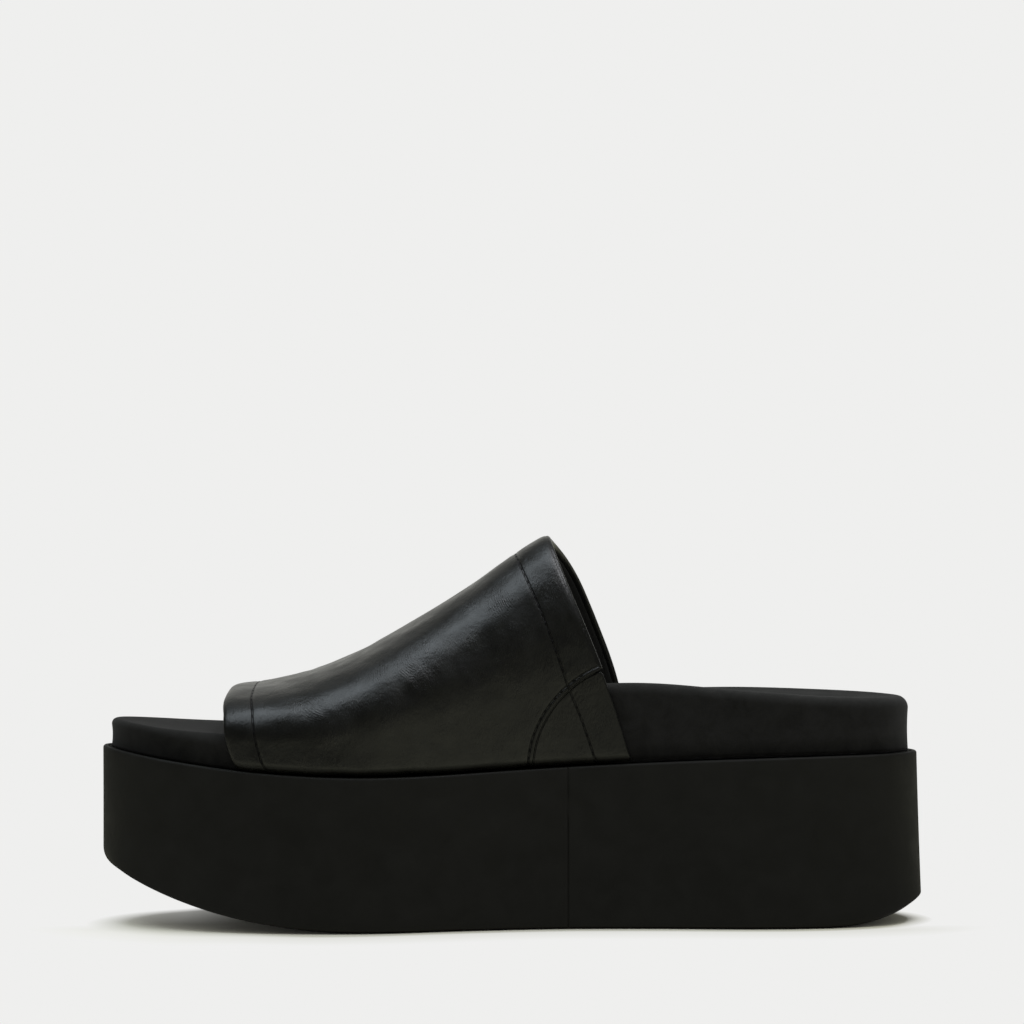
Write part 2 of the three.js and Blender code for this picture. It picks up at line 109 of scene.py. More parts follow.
# Tables by share of the length from the heel. Outline: across. Rim: height of the platform.
# Footbed: height on the inner and the outer side, and dish. Band: height of the ridge, how far
# across it lies, and how full the side and the top are. Spine: middle line of the sole.
OUTLINE = [
    (0.0, -0.005), (0.035, 0.205), (0.12, 0.318), (0.25, 0.342), (0.4, 0.376), (0.55, 0.455),
    (0.66, 0.5), (0.77, 0.48), (0.87, 0.392), (0.95, 0.252), (0.99, 0.1), (1.0, -0.03),
    (0.985, -0.165), (0.94, -0.31), (0.86, -0.432), (0.76, -0.494), (0.66, -0.492), (0.55, -0.412),
    (0.44, -0.354), (0.34, -0.348), (0.2, -0.362), (0.11, -0.325), (0.035, -0.212),
]
RIM = [
    (0.0, 1.0), (0.12, 0.996), (0.24, 0.98), (0.36, 0.955), (0.48, 0.925), (0.6, 0.896),
    (0.7, 0.892), (0.8, 0.918), (0.9, 0.97), (1.0, 1.036),
]
FOOTBED = [
    (0.0, 0.98, 0.98, 1.0), (0.12, 1.05, 1.05, 1.0), (0.24, 1.24, 1.13, 0.95), (0.36, 1.46, 1.12, 0.85),
    (0.46, 1.44, 1.02, 0.7), (0.56, 1.18, 0.89, 0.5), (0.66, 0.9, 0.77, 0.35), (0.76, 0.7, 0.67, 0.25),
    (0.88, 0.56, 0.56, 0.15), (0.95, 0.52, 0.52, 0.12), (1.0, 0.51, 0.51, 0.1),
]
BAND = [
    (0.3, 1.32, -0.06, 0.52, 0.5), (0.4, 1.13, -0.06, 0.52, 0.5), (0.48, 0.945, -0.06, 0.53, 0.52),
    (0.55, 0.775, -0.055, 0.55, 0.55), (0.62, 0.618, -0.05, 0.58, 0.58), (0.7, 0.45, -0.045, 0.62, 0.6),
    (0.77, 0.336, -0.04, 0.66, 0.62), (0.85, 0.262, -0.035, 0.7, 0.64), (0.92, 0.215, -0.03, 0.72, 0.64),
]
SPINE = [(0.13, -0.012), (0.4, 0.008), (0.66, 0.002), (0.86, -0.02)]
TOE_OPENING = {"ridge": 0.838, "inner": 0.826, "outer": 0.806, "inner_bow": -0.011, "outer_bow": -0.008}
THROAT = {"ridge": 0.458, "inner": 0.357, "outer": 0.357, "inner_bow": 0.008, "outer_bow": 0.023}

# By share of the way up to the ridge: how far the throat's sewn line lies further in, and how
# far the leather's throat edge is drawn in on the inner and the outer side.
HEM_BOW = [
    (0.0, -0.2), (0.2, 0.5), (0.34, 1.2), (0.42, 0.95), (0.55, 0.4), (0.78, -0.25), (1.0, 0.0),
]
THROAT_TRIM = [
    (0.0, 0.5, -0.35), (0.2, 0.8, -0.05), (0.4, 1.06, 0.2), (0.55, 1.22, 0.3), (0.66, 1.27, 0.0),
    (0.8, 1.2, -0.6), (0.9, 0.9, -0.45), (1.0, 0.5, 0.5),
]
# How far the side cover's butt seam stands open, by share of the height
SEAM_OPENING = [
    (0.0, 0.8), (0.06, 0.8), (0.12, 0.25), (0.19, 0.9), (0.25, 0.7), (0.31, 0.2), (0.37, 0.7),
    (0.42, 0.5), (0.48, 0.15), (0.6, 0.25), (0.67, 0.9), (0.75, 0.8), (0.82, 0.15), (1.0, 0.1),
]


def column(table, index):
    """Smooth curve through one column of a table, by the table's first column."""
    at = np.array([row[0] for row in table], float)
    value = np.array([row[index] for row in table], float)
    low = np.maximum(np.arange(len(at)) - 1, 0)
    high = np.minimum(np.arange(len(at)) + 1, len(at) - 1)
    slope = (value[high] - value[low]) / (at[high] - at[low])

    def curve(share):
        s = np.clip(share, at[0], at[-1])
        i = np.clip(np.searchsorted(at, s, side="left") - 1, 0, len(at) - 2)
        span = at[i + 1] - at[i]
        t = (s - at[i]) / span
        rise = value[i + 1] - value[i]
        bend_in = slope[i] * span - rise
        bend_out = rise - slope[i + 1] * span
        return value[i] + rise * t + t * (1 - t) * (bend_in * (1 - t) + bend_out * t)

    return curve


def lerp(a, b, t):
    return a + (b - a) * t


def smoothstep(x, low, high):
    t = np.clip((x - low) / (high - low), 0, 1)
    return t * t * (3 - 2 * t)


def from_heel(x):
    return (HEEL_X - x) / SOLE_LENGTH


def place_x(share):
    return HEEL_X - share * SOLE_LENGTH


def unit(v):
    return v / np.linalg.norm(v, axis=-1)[..., None]


def length_along(points):
    """Distance along each line of points, from its first one."""
    steps = np.linalg.norm(np.diff(points, axis=0), axis=-1)
    return np.concatenate([0 * steps[:1], np.cumsum(steps, axis=0)])


def between(at, stations, points):
    """Points of a line at places between its stations."""
    return np.stack([np.interp(at, stations, values) for values in points.T], -1)


rim_share = column(RIM, 1)
inner_rise, outer_rise, dish_share = (column(FOOTBED, k) for k in (1, 2, 3))
band_ridge, band_across, band_side, band_top = (column(BAND, k) for k in (1, 2, 3, 4))
spine_across = column(SPINE, 1)


def platform_top(x):
    return HEEL_HEIGHT * rim_share(from_heel(x))


def platform_bottom(x):
    toe = np.maximum(0, (from_heel(x) - TOE_ROCKER_START) / (1 - TOE_ROCKER_START))
    heel = np.maximum(0, (HEEL_ROCKER_START - from_heel(x)) / HEEL_ROCKER_START)
    return (TOE_SPRING - ROCKER_FULLNESS * (1 - toe)) * toe**2 + HEEL_LIFT * heel**2


def draft(x):
    return lerp(HEEL_DRAFT, TOE_DRAFT, from_heel(x))


def footbed_edge(x, y):
    half = BALL_WIDTH * 0.36
    share = from_heel(x)
    rise = lerp(inner_rise(share), outer_rise(share), smoothstep(y, -half, half))
    return platform_top(x) + FOOTBED_RISE * rise


def footbed_inset(x):
    return draft(x) + LEDGE_WIDTH


# Plan outline of the sole, as even steps along a closed curve
def outline_curve(steps=6000):
    p = np.array([(place_x(a), b * BALL_WIDTH) for a, b in OUTLINE])
    n = len(p)
    t = np.arange(steps) * n / steps
    i = t.astype(int)
    w = (t - i)[:, None]
    p0, p1, p2, p3 = (p[(i + k) % n] for k in (-1, 0, 1, 2))
    d0, d1, d2 = (np.sqrt(np.linalg.norm(b - a, axis=1))[:, None]
                  for a, b in ((p0, p1), (p1, p2), (p2, p3)))
    t1 = ((p1 - p0) / d0 - (p2 - p0) / (d0 + d1) + (p2 - p1) / d1) * d1
    t2 = ((p2 - p1) / d1 - (p3 - p1) / (d1 + d2) + (p3 - p2) / d2) * d1
    return p1 + t1 * w + (-3 * p1 + 3 * p2 - 2 * t1 - t2) * w**2 + (2 * p1 - 2 * p2 + t1 + t2) * w**3


curve = outline_curve()
closed_curve = np.vstack([curve, curve[:1]])
curve_length = length_along(closed_curve)
PERIMETER = curve_length[-1]
tangents = unit(np.roll(curve, -1, axis=0) - np.roll(curve, 1, axis=0))
closed_tangents = np.vstack([tangents, tangents[:1]])


def outline_point(turn, inset):
    """Points at shares of the way round the outline, moved inwards."""
    s = (np.asarray(turn) % 1) * PERIMETER
    x, y = between(s, curve_length, closed_curve).T
    tx, ty = between(s, curve_length, closed_tangents).T
    return x - ty * inset, y + tx * inset


def raised(place, height):
    """Points above places in plan, at heights that are given or follow from the places."""
    x, y = place
    return np.stack([x, y, height(x, y) if callable(height) else height], 1)


def ring(turn, inset, height):
    return raised(outline_point(turn, inset), height)


def drawn_in(points, share):
    """Points moved towards the middle line of the sole by a share of the way."""
    s = np.clip(from_heel(points[:, 0]), SPINE[0][0], SPINE[-1][0])
    return lerp(points[:, 0], place_x(s), share), lerp(points[:, 1], spine_across(s) * BALL_WIDTH, share)


# Meshes
def signed_volume(points, faces):
    """Six times the volume, below zero where the faces look inwards."""
    corners = [points[f[:, [0, k, k + 1]]] for f in faces for k in range(1, f.shape[1] - 1)]
    return np.linalg.det(np.vstack(corners)).sum()


def add_object(name, data):
    made = bpy.data.objects.new(name, data)
    bpy.context.scene.collection.objects.link(made)
    return made


def new_mesh(name, points, faces):
    mesh = bpy.data.meshes.new(name)
    mesh.from_pydata((points * MM).tolist(), [], [row for f in faces for row in f.tolist()])
    return mesh


def make(name, points, faces, material, slot, sewing=None):
    """A closed piece from points in millimetres and arrays of faces, with values kept on its points for its
    look: sewn lines, or painted shade and highlight on the footbed.
    """
    if signed_volume(points, faces) < 0:
        faces = [f[:, ::-1] for f in faces]
    mesh = new_mesh(name, points, faces)
    mesh.polygons.foreach_set("use_smooth", [True] * len(mesh.polygons))
    mesh.materials.append(material)
    if sewing is not None:
        lines = np.full((len(points), 3), 9.0)
        lines[:len(sewing)] = sewing
        mesh.attributes.new("sewing", "FLOAT_VECTOR", "POINT").data.foreach_set("vector", lines.ravel())
    mesh.update()
    piece = add_object(name, mesh)
    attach(piece, "root")
    return piece


def ladder(start, count, flip):
    """Closes a narrow ring by rungs from side to side."""
    faces = []
    for i in range(count // 2):
        quad = [start + i, start + i + 1, start + (count - i - 1) % count, start + (count - i) % count]
        faces.append(quad[::-1] if flip else quad)
    triangles = [list(dict.fromkeys(f)) for f in faces if len(set(f)) == 3]
    return [f for f in faces if len(set(f)) == 4], triangles


def strips(loops):
    """Faces between neighbouring closed loops that have as many points each."""
    count = len(loops[0])
    i = np.arange(count)
    j = (i + 1) % count
    return [np.stack([k * count + i, k * count + j, (k + 1) * count + j, (k + 1) * count + i], 1)
            for k in range(len(loops) - 1)]


def ring_body(rings):
    """A body from rings round the sole, closed below the first and above the last."""
    count = len(rings[0])
    quads, triangles = strips(rings), []
    for start, flip in ((0, True), ((len(rings) - 1) * count, False)):
        q, t = ladder(start, count, flip)
        quads.append(np.array(q))
        triangles += t
    return np.vstack(rings), [np.vstack(quads), np.array(triangles)]


def swept_body(sections):
    """A body from one section after the other, with a fan of triangles at both ends."""
    count = len(sections[0])
    last = (len(sections) - 1) * count
    fan = [[0, i + 1, i] for i in range(1, count - 1)]
    fan += [[last, last + i, last + i + 1] for i in range(1, count - 1)]
    return np.vstack(sections), [np.vstack(strips(sections)), np.array(fan)]


def perimeter(rows, stations):
    """Places round the border of a grid, each with its neighbour further in."""
    r, s = rows - 1, stations - 1
    here = [(0, j) for j in range(s)] + [(i, s) for i in range(r)]
    here += [(r, j) for j in range(s, 0, -1)] + [(i, 0) for i in range(r, 0, -1)]
    step = np.repeat([(1, 0), (0, -1), (-1, 0), (0, 1)], [s, r, s, r], axis=0)
    return np.array(here), np.array(here) + step


def grid_shell(outer, inner, bulge, steps=5):
    """A closed sheet between two grids of points, with a rounded border."""
    rows, stations = outer.shape[:2]
    here, inward = perimeter(rows, stations)
    rim = tuple(here.T)
    top, low = outer[rim], inner[rim]
    middle = (top + low) / 2
    out = top - outer[tuple(inward.T)]
    across = top - low
    out -= (out * unit(across)).sum(1)[:, None] * unit(across)
    reach = bulge(here)[:, None] * unit(out)
    rims = [middle + across / 2 * cos(a) + reach * sin(a)
            for a in (pi * k / steps for k in range(1, steps))]
    index = np.arange(rows * stations).reshape(rows, stations)
    a, b, c, d = (part.ravel() for part in (index[:-1, :-1], index[:-1, 1:], index[1:, 1:], index[1:, :-1]))
    base = rows * stations
    n = len(here)
    border = index[rim]
    loops = [border] + [2 * base + k * n + np.arange(n) for k in range(steps - 1)] + [border + base]
    faces = [np.stack([a, b, c, d], 1), np.stack([d, c, b, a], 1) + base]
    for first, second in zip(loops, loops[1:]):
        faces.append(np.stack([np.roll(first, -1), first, second, np.roll(second, -1)], 1))
    points = np.vstack([outer.reshape(-1, 3), inner.reshape(-1, 3)] + rims)
    return points, [np.vstack(faces)]


def normals_of(grid, inner_side=False):
    """Unit normals of a grid of points, away from the foot."""
    n = np.cross(np.gradient(grid, axis=0), np.gradient(grid, axis=1))
    n /= np.maximum(np.linalg.norm(n, axis=2), 1e-9)[..., None]
    away = -n[-1, :, 1] if inner_side else n[grid.shape[0] // 2, :, 2]
    return n if away.mean() > 0 else -n


def waves(x, y, lengths, seed):
    """Soft unevenness from a few crossing waves, about -1 to 1."""
    r = np.random.default_rng(seed)
    total = 0
    for length in lengths:
        angle, phase = r.uniform(0, tau, 2)
        total = total + np.sin((x * cos(angle) + y * sin(angle)) * tau / length + phase)
    return total / len(lengths)


# Materials
class Nodes:
    """Nodes of one material or of the world."""

    def __init__(self, tree):
        self.tree = tree

    def node(self, kind, inputs=None, **settings):
        """A node whose inputs, by name or number, are values or other nodes' outputs."""
        made = self.tree.nodes.new(kind)
        for key, value in settings.items():
            setattr(made, key, value)
        for key, value in (inputs or {}).items():
            if isinstance(value, bpy.types.NodeSocket):
                self.tree.links.new(value, made.inputs[key])
            else:
                made.inputs[key].default_value = value
        return made

    def span(self, value, low, high, to_low, to_high):
        inputs = {"Value": value, "From Min": low, "From Max": high, "To Min": to_low, "To Max": to_high}
        return self.node("ShaderNodeMapRange", inputs).outputs["Result"]

    def math(self, operation, a, b=0.0):
        return self.node("ShaderNodeMath", {0: a, 1: b}, operation=operation).outputs[0]

    def parts(self, vector):
        return self.node("ShaderNodeSeparateXYZ", {"Vector": vector}).outputs

    def times(self, a, b):
        return self.math("MULTIPLY", a, b)

    def plus(self, a, b):
        return self.math("ADD", a, b)

    def glow(self, kind, colour, strength):
        """A shader of light, with a colour and a strength."""
        return self.node(kind, {"Color": colour, "Strength": strength}).outputs[0]

    def mix(self, share, first, second):
        return self.node("ShaderNodeMixShader", {0: share, 1: first, 2: second}).outputs[0]


class Look(Nodes):
    """A node material on one principled shader."""

    def __init__(self, name, **sockets):
        self.material = bpy.data.materials.new(name)
        self.material.use_nodes = True
        super().__init__(self.material.node_tree)
        self.shader = self.tree.nodes["Principled BSDF"]
        for key, value in sockets.items():
            self.shader.inputs[key.replace("_", " ")].default_value = value
        self.place = self.node("ShaderNodeTexCoord").outputs["Object"]

    def scaled(self, scale, turn=(0, 0, 0)):
        """Object coordinates in millimetres, stretched along the axes."""
        inputs = {"Vector": self.place, "Scale": tuple(1000 * s for s in scale), "Rotation": turn}
        return self.node("ShaderNodeMapping", inputs).outputs[0]

    def noise(self, size, detail=4, rough=0.55, stretch=(1, 1, 1), warp=0.0, turn=(0, 0, 0)):
        vector = self.scaled([s / size for s in stretch], turn)
        inputs = {"Vector": vector, "Scale": 1.0, "Detail": detail, "Roughness": rough, "Distortion": warp}
        return self.node("ShaderNodeTexNoise", inputs).outputs["Fac"]

    def cells(self, size, feature="F1"):
        inputs = {"Vector": self.scaled([1 / size] * 3), "Scale": 1.0}
        return self.node("ShaderNodeTexVoronoi", inputs, feature=feature).outputs["Distance"]

    def rings(self, about, pitch, warp):
        """Ripples round a line across the shoe at a place along it and a height, 0 to 1."""
        scale = tau / 20 / pitch
        shift = (-scale * about[0], 0, -scale * about[1])
        inputs = {"Vector": self.place, "Scale": (1000 * scale,) * 3, "Location": shift}
        vector = self.node("ShaderNodeMapping", inputs).outputs[0]
        inputs = {"Vector": vector, "Scale": 1.0, "Distortion": warp,
                  "Detail": 3.0, "Detail Scale": 0.7, "Detail Roughness": 0.6}
        return self.node("ShaderNodeTexWave", inputs, wave_type="RINGS", rings_direction="Y").outputs["Fac"]

    def colour(self, value, stops):
        ramp = self.node("ShaderNodeValToRGB", {"Fac": value})
        elements = ramp.color_ramp.elements
        for k, (at, c) in enumerate(stops):
            element = elements[k] if k < 2 else elements.new(at)
            element.position = at
            element.color = (*c, 1)
        self.plug(ramp.outputs["Color"], "Base Color")

    def kept_lines(self):
        return self.parts(self.node("ShaderNodeAttribute", attribute_name="sewing").outputs["Vector"])

    def sewn_grooves(self, narrow, wide):
        """1 in the middle of a sewn line and 0 beyond its width, from the lines kept on the mesh."""
        kept = self.kept_lines()
        x, y, z = (self.math("ABSOLUTE", kept[axis]) for axis in "XYZ")
        closest = self.math("MINIMUM", self.math("MINIMUM", x, y), z)
        return self.span(closest, narrow, wide, 1.0, 0.0)

    def plug(self, value, socket):
        self.tree.links.new(value, self.shader.inputs[socket])

    def bumps(self, layers):
        """Layers of height, each with its depth in millimetres and its strength."""
        normal = None
        for height, depth, strength in layers:
            inputs = {"Height": height, "Distance": depth * MM, "Strength": strength}
            if normal is not None:
                inputs["Normal"] = normal
            normal = self.node("ShaderNodeBump", inputs).outputs["Normal"]
        self.plug(normal, "Normal")


# Clusters of fine ripples in the leather: middle, reach, the line across the shoe that they
# curve about, and how far apart they are
RIPPLES = [
    ((-65.8, -42, 69.2), 4.2, (-51.8, 69.8), 0.68), ((-60.3, -42, 66.1), 6.5, (-55.5, 77.1), 0.72),
    ((-32.5, -37, 81.4), 5.6, (-28.8, 84.2), 0.68), ((-28.5, -35, 86.0), 4.6, (-14.4, 88.8), 0.66),
    ((-39.8, -38, 77.2), 4.2, (-34.3, 80.2), 0.7), ((-4.0, -28, 101.2), 6.2, (5.6, 103.9), 0.72),
]


def leather_look(name, dark, light, rough_low, rough_high):
    look = Look(name, Specular_IOR_Level=0.42, Coat_Weight=0.1, Coat_Roughness=0.3)
    pores = look.cells(0.62)
    pebbles = look.cells(1.15, "SMOOTH_F1")
    broken = look.span(look.noise(1.5, 3, 0.6), 0.38, 0.62, 0.0, 1.0)
    ripples = 0.0
    for centre, reach, about, pitch in RIPPLES:
        ends = {0: look.place, 1: tuple(MM * c for c in centre)}
        far = look.node("ShaderNodeVectorMath", ends, operation="DISTANCE").outputs["Value"]
        here = look.span(far, 0.1 * reach * MM, 1.15 * reach * MM, 1.0, 0.0)
        ripples = look.plus(ripples, look.times(look.rings(about, pitch, 5.0), here))
    ripples = look.times(ripples, broken)
    drawn_up = look.span(look.noise(9.0, 3, 0.5), 0.4, 0.6, 0.15, 1.0)
    wrinkles = look.noise(0.85, 3, 0.55, (1.0, 0.35, 0.4), 1.2, (0, 0.3, 0))
    wrinkles = look.times(wrinkles, drawn_up)
    fine = look.noise(0.35, 5, 0.65)
    soft = look.noise(7.0, 3, 0.5, warp=0.4)
    grooves = look.sewn_grooves(0.1, 0.42)
    # Painted shade: the tone is darkened along the sewn grooves, and along the corner panel's edge under
    # the lap
    tone = look.math("SUBTRACT", look.noise(5.0, 5, 0.6), look.times(grooves, 0.6))
    look.colour(tone, [(0.0, (0.0006, 0.0006, 0.0005)), (0.3, dark), (0.75, light)])
    mixed = look.plus(look.times(soft, 0.7), look.times(fine, 0.3))
    mixed = look.plus(mixed, look.times(grooves, 0.9))
    look.plug(look.span(mixed, 0.35, 0.65, rough_low, rough_high), "Roughness")
    look.bumps([(soft, 0.35, 0.35), (pebbles, 0.1, 0.35), (wrinkles, 0.17, 0.9), (ripples, 0.1, 1.0),
                (pores, 0.04, 0.3), (fine, 0.03, 0.35), (grooves, -0.3, 1.0)])
    return look.material


def suede_look(name, dark, light, sheen, painted_shade_and_highlight=False):
    """Napped cloth; with the flag on, painted shade darkens it down in the crevice and a painted highlight
    lightens it where the mesh marks the top.
    """
    look = Look(name, Specular_IOR_Level=0.12, Sheen_Weight=sheen, Sheen_Roughness=0.45)
    nap = look.noise(0.3, 6, 0.7, (1, 1, 0.6))
    patches = look.noise(6.0, 4, 0.6, warp=0.8)
    both = look.plus(look.times(nap, 0.5), look.times(patches, 0.5))
    if painted_shade_and_highlight:
        kept = look.kept_lines()
        # Painted shade: darker within a few millimetres above the platform
        both = look.math("SUBTRACT", both, look.span(kept["X"], 0.3, 6.0, 0.38, 0.0))
        # Painted highlight: lighter where the mesh marks the top
        both = look.plus(both, kept["Y"])
        look.colour(both, [(0.1, tuple(0.35 * c for c in dark)), (0.35, dark), (0.68, light),
                           (1.0, tuple(1.9 * c for c in light))])
    else:
        look.colour(both, [(0.35, dark), (0.68, light)])
    look.plug(look.span(nap, 0.3, 0.7, 0.82, 0.98), "Roughness")
    look.bumps([(patches, 0.12, 0.3), (nap, 0.1, 0.55)])
    return look.material


def rubber_look(name, dark, light, specular, rough_low, rough_high, grain=0.28):
    look = Look(name, Specular_IOR_Level=specular)
    fine = look.noise(grain, 5, 0.65)
    broad = look.noise(9.0, 4, 0.55, warp=0.5)
    specks = look.cells(0.9)
    look.colour(look.plus(look.times(fine, 0.35), look.times(broad, 0.65)),
                [(0.35, dark), (0.68, light)])
    look.plug(look.span(broad, 0.35, 0.65, rough_low, rough_high), "Roughness")
    look.bumps([(broad, 0.15, 0.2), (specks, 0.03, 0.25), (fine, 0.03, 0.4)])
    return look.material


def thread_look():
    look = Look("thread", Specular_IOR_Level=0.2)
    strands = look.noise(0.12, 3, 0.6)
    look.colour(strands, [(0.3, (0.0015, 0.0015, 0.0015)), (0.7, (0.004, 0.004, 0.004))])
    look.plug(look.span(strands, 0.3, 0.7, 0.45, 0.65), "Roughness")
    look.bumps([(strands, 0.05, 0.5)])
    return look.material


LEATHER = leather_look("black_leather", (0.0026, 0.0027, 0.0019), (0.0054, 0.0056, 0.0038), 0.31, 0.44)
LINING = suede_look("lining_leather", (0.013, 0.013, 0.0118), (0.024, 0.024, 0.0222), 0.02)
# The footbed's colour carries painted shade down by the ledge and a painted highlight on its top
BED = suede_look("footbed_suede", (0.0058, 0.0058, 0.0048), (0.0122, 0.0122, 0.0112), 0.04, True)
COVER = rubber_look("sidewall_cover", (0.0064, 0.0064, 0.005), (0.0094, 0.0094, 0.0076), 0.15, 0.58, 0.7)
SOLE_RUBBER = rubber_look("outsole_rubber", (0.008, 0.008, 0.0072), (0.0125, 0.0125, 0.0115),
                          0.25, 0.55, 0.72, 0.4)
FOAM = rubber_look("midsole_foam", (0.007, 0.007, 0.0062), (0.011, 0.011, 0.01),
                   0.12, 0.75, 0.9, 0.7)
THREAD = thread_look()


# Sidewall cover: one strip round the platform, its ends meeting on the inner side
def sidewall_piece():
    candidates = np.linspace(0.5, 1, 4001)
    xs, _ = outline_point(candidates, 0)
    seam = candidates[np.argmin(np.abs(from_heel(xs) - BUTT_SEAM_PLACE))]
    half_gap = BUTT_SEAM_HALF_GAP / PERIMETER
    steps = 760
    share = np.linspace(0, 1, steps + 1)
    turn = seam + share
    from_end = np.minimum(share, 1 - share) * PERIMETER
    x0, _ = outline_point(turn, 0)
    foot = platform_bottom(x0) + lerp(SIDEWALL_LIFT, TOE_LIFT, smoothstep(from_heel(x0), 0.7, 0.85))
    lean = draft(x0)
    top = platform_top(x0)
    rounded = 0.06 * np.exp(-((from_end / 0.5) ** 2))
    uneven = COVER_UNEVEN * waves(share * PERIMETER, 0 * share, [31, 47, 83], 3)
    toe_tip = smoothstep(from_heel(x0), 0.955, 0.995)
    quarter = [(1 - cos(a), 1 - sin(a)) for a in np.linspace(0, pi / 2, 6)]
    profile = []
    corner = EDGE_ROUND + TOE_CORNER * toe_tip
    for inward, drop in quarter:
        inset = TOE_TUCK * toe_tip + (EDGE_ROUND + TOE_TUCK * toe_tip) * inward
        falling = toe_tip * inward * (platform_bottom(outline_point(turn, inset)[0]) - platform_bottom(x0))
        profile.append((inset, foot + corner * drop + falling, rounded))
    profile.reverse()
    low, high = foot + corner, top - EDGE_ROUND
    for v in np.linspace(0.05, 0.95, 19):
        tucked = TOE_TUCK * toe_tip * (1 - v)
        wavy = uneven * 4 * v * (1 - v) * (1 - toe_tip)
        profile.append((lean * (v + 0.4 * v * (1 - v)) + wavy + tucked, lerp(low, high, v), rounded))
    for inward, drop in quarter:
        profile.append((lean + EDGE_ROUND * inward, top - EDGE_ROUND * drop, rounded))
    back = lean + SIDEWALL_THICKNESS
    profile += [(back - COVER_CHAMFER, top, 0), (back, top - COVER_CHAMFER, 0)]
    profile.append((SIDEWALL_THICKNESS, foot, 0))
    grid = []
    for inset, height, extra in profile:
        up = float(np.clip((height[0] - foot[0]) / (top[0] - foot[0]), 0, 1))
        opening = float(column(SEAM_OPENING, 1)(up))
        grid.append(ring(turn + half_gap * opening * (1 - 2 * share), inset + extra * opening, height))
    piece = make("sidewall_strip", *swept_body(list(np.stack(grid, 1))), COVER, "sidewall_cover")
    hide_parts("sidewall")


# Outsole: a sheet with a herringbone tread pressed into its lower face
def outsole_piece():
    count = 760
    turn = np.arange(count) / count
    inset = SIDEWALL_THICKNESS + SHEET_GAP

    def tread(x, y, from_edge):
        wave = x + TREAD_BOW * np.abs(((y / TREAD_WIDTH + 0.25) % 1) * 2 - 1)
        groove = smoothstep(np.abs((wave / TREAD_PITCH) % 1 - 0.5), 0.33, 0.45)
        return TREAD_DEPTH * groove * smoothstep(from_edge, 4.2, 5.6)

    def top_face(x, y):
        return platform_bottom(x) + OUTSOLE_THICKNESS

    edge = ring(turn, inset + EDGE_ROUND, lambda x, y: platform_bottom(x))
    rings = []
    for share in np.linspace(0.97, 0.015, 64):
        x, y = drawn_in(edge, share)
        middle = np.stack(drawn_in(edge, 1.0), 1)
        from_edge = np.linalg.norm(edge[:, :2] - middle, axis=1) * share
        rings.append(np.stack([x, y, platform_bottom(x) + tread(x, y, from_edge)], 1))
    for a in np.linspace(0, pi / 2, 6):
        inward, rise = EDGE_ROUND * (1 - sin(a)), EDGE_ROUND * (1 - cos(a))
        rings.append(ring(turn, inset + inward, lambda x, y, rise=rise: platform_bottom(x) + rise))
    top = ring(turn, inset, top_face)
    rings.append(top)
    rings += [raised(drawn_in(top, share), top_face) for share in (0.4, 0.8, 0.97)]
    piece = make("outsole_sheet", *ring_body(rings), SOLE_RUBBER, "outsole_rubber")
    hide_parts("outsole")


# Footbed: side, rounded shoulder and a dished top, raised over the band's turned margin
def footbed_piece():
    count = 640
    turn = np.arange(count) / count
    x0, _ = outline_point(turn, 0)
    share = from_heel(x0)
    under_band = smoothstep(share, 0.375, 0.395) * (1 - smoothstep(share, 0.785, 0.805))
    tuck = FOOTBED_TUCK * under_band
    rounding = lerp(*SHOULDER_ROUND, smoothstep(share, 0.8, 0.98))

    def edge_height(x, y):
        at = from_heel(x)
        covered = smoothstep(at, 0.28, 0.4) * (1 - smoothstep(at, 0.78, 0.86))
        return footbed_edge(x, y) + SHOULDER_LIFT * (1 - covered)

    def low_face(x, y):
        return platform_top(x) + CLEARANCE

    def over_margin(x, y):
        return low_face(x, y) + MARGIN_ROOM * under_band

    def foot_ring(inset, height):
        return ring(turn, footbed_inset(x0) + inset, height)

    edge = foot_ring(tuck, over_margin)
    rings = [raised(drawn_in(edge, s), low_face) for s in (0.97, 0.7)]
    rings += [foot_ring(MARGIN_REACH + 1, low_face), foot_ring(MARGIN_REACH, over_margin), edge]
    low = edge[:, 2]
    high = edge_height(edge[:, 0], edge[:, 1]) - rounding
    for v in np.linspace(0.1, 0.9, 9):
        rings.append(foot_ring(tuck + BED_HOLLOW * 4 * v * (1 - v), lerp(low, high, v)))
    for a in np.linspace(0, pi / 2, 10):
        inset = tuck * cos(a) + rounding * (1 - cos(a))
        rings.append(foot_ring(inset, lambda x, y, a=a: edge_height(x, y) - rounding * (1 - sin(a))))
    shoulder = rings[-1]
    for s in np.concatenate([np.linspace(0.03, 0.9, 36), [0.97]]):
        xa, ya = drawn_in(shoulder, s)
        depth = HEEL_CUP_DEPTH * dish_share(from_heel(xa))
        drop = depth * smoothstep(s, -0.1, 0.75) * smoothstep(s, -0.01, 0.1)
        soft = BED_UNEVEN * waves(xa, ya, [37, 53, 71], 5) * smoothstep(s, 0, 0.3)
        rings.append(np.stack([xa, ya, edge_height(xa, ya) - drop + soft], 1))
    points, faces = ring_body(rings)
    # Height above the platform, kept for the painted shade down by the ledge; it counts less at the heel,
    # so the shade reaches higher there
    height = points[:, 2] - platform_top(points[:, 0])
    height *= lerp(1.0, 0.55, smoothstep(from_heel(points[:, 0]), 0.78, 0.94))
    # Painted highlight: the top is coloured lighter from the shoulder inwards, most of all at the heel
    on_top = np.repeat(np.clip((np.arange(len(rings)) - 15) / 7, 0, 1), count)
    painted_top_highlight = on_top * lerp(0.44, 0.11, smoothstep(from_heel(points[:, 0]), 0.35, 0.85))
    kept = np.stack([height, painted_top_highlight, 0 * height], 1)
    piece = make("footbed_pad", points, faces, BED, "footbed_cover", kept)
    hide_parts("footbed")


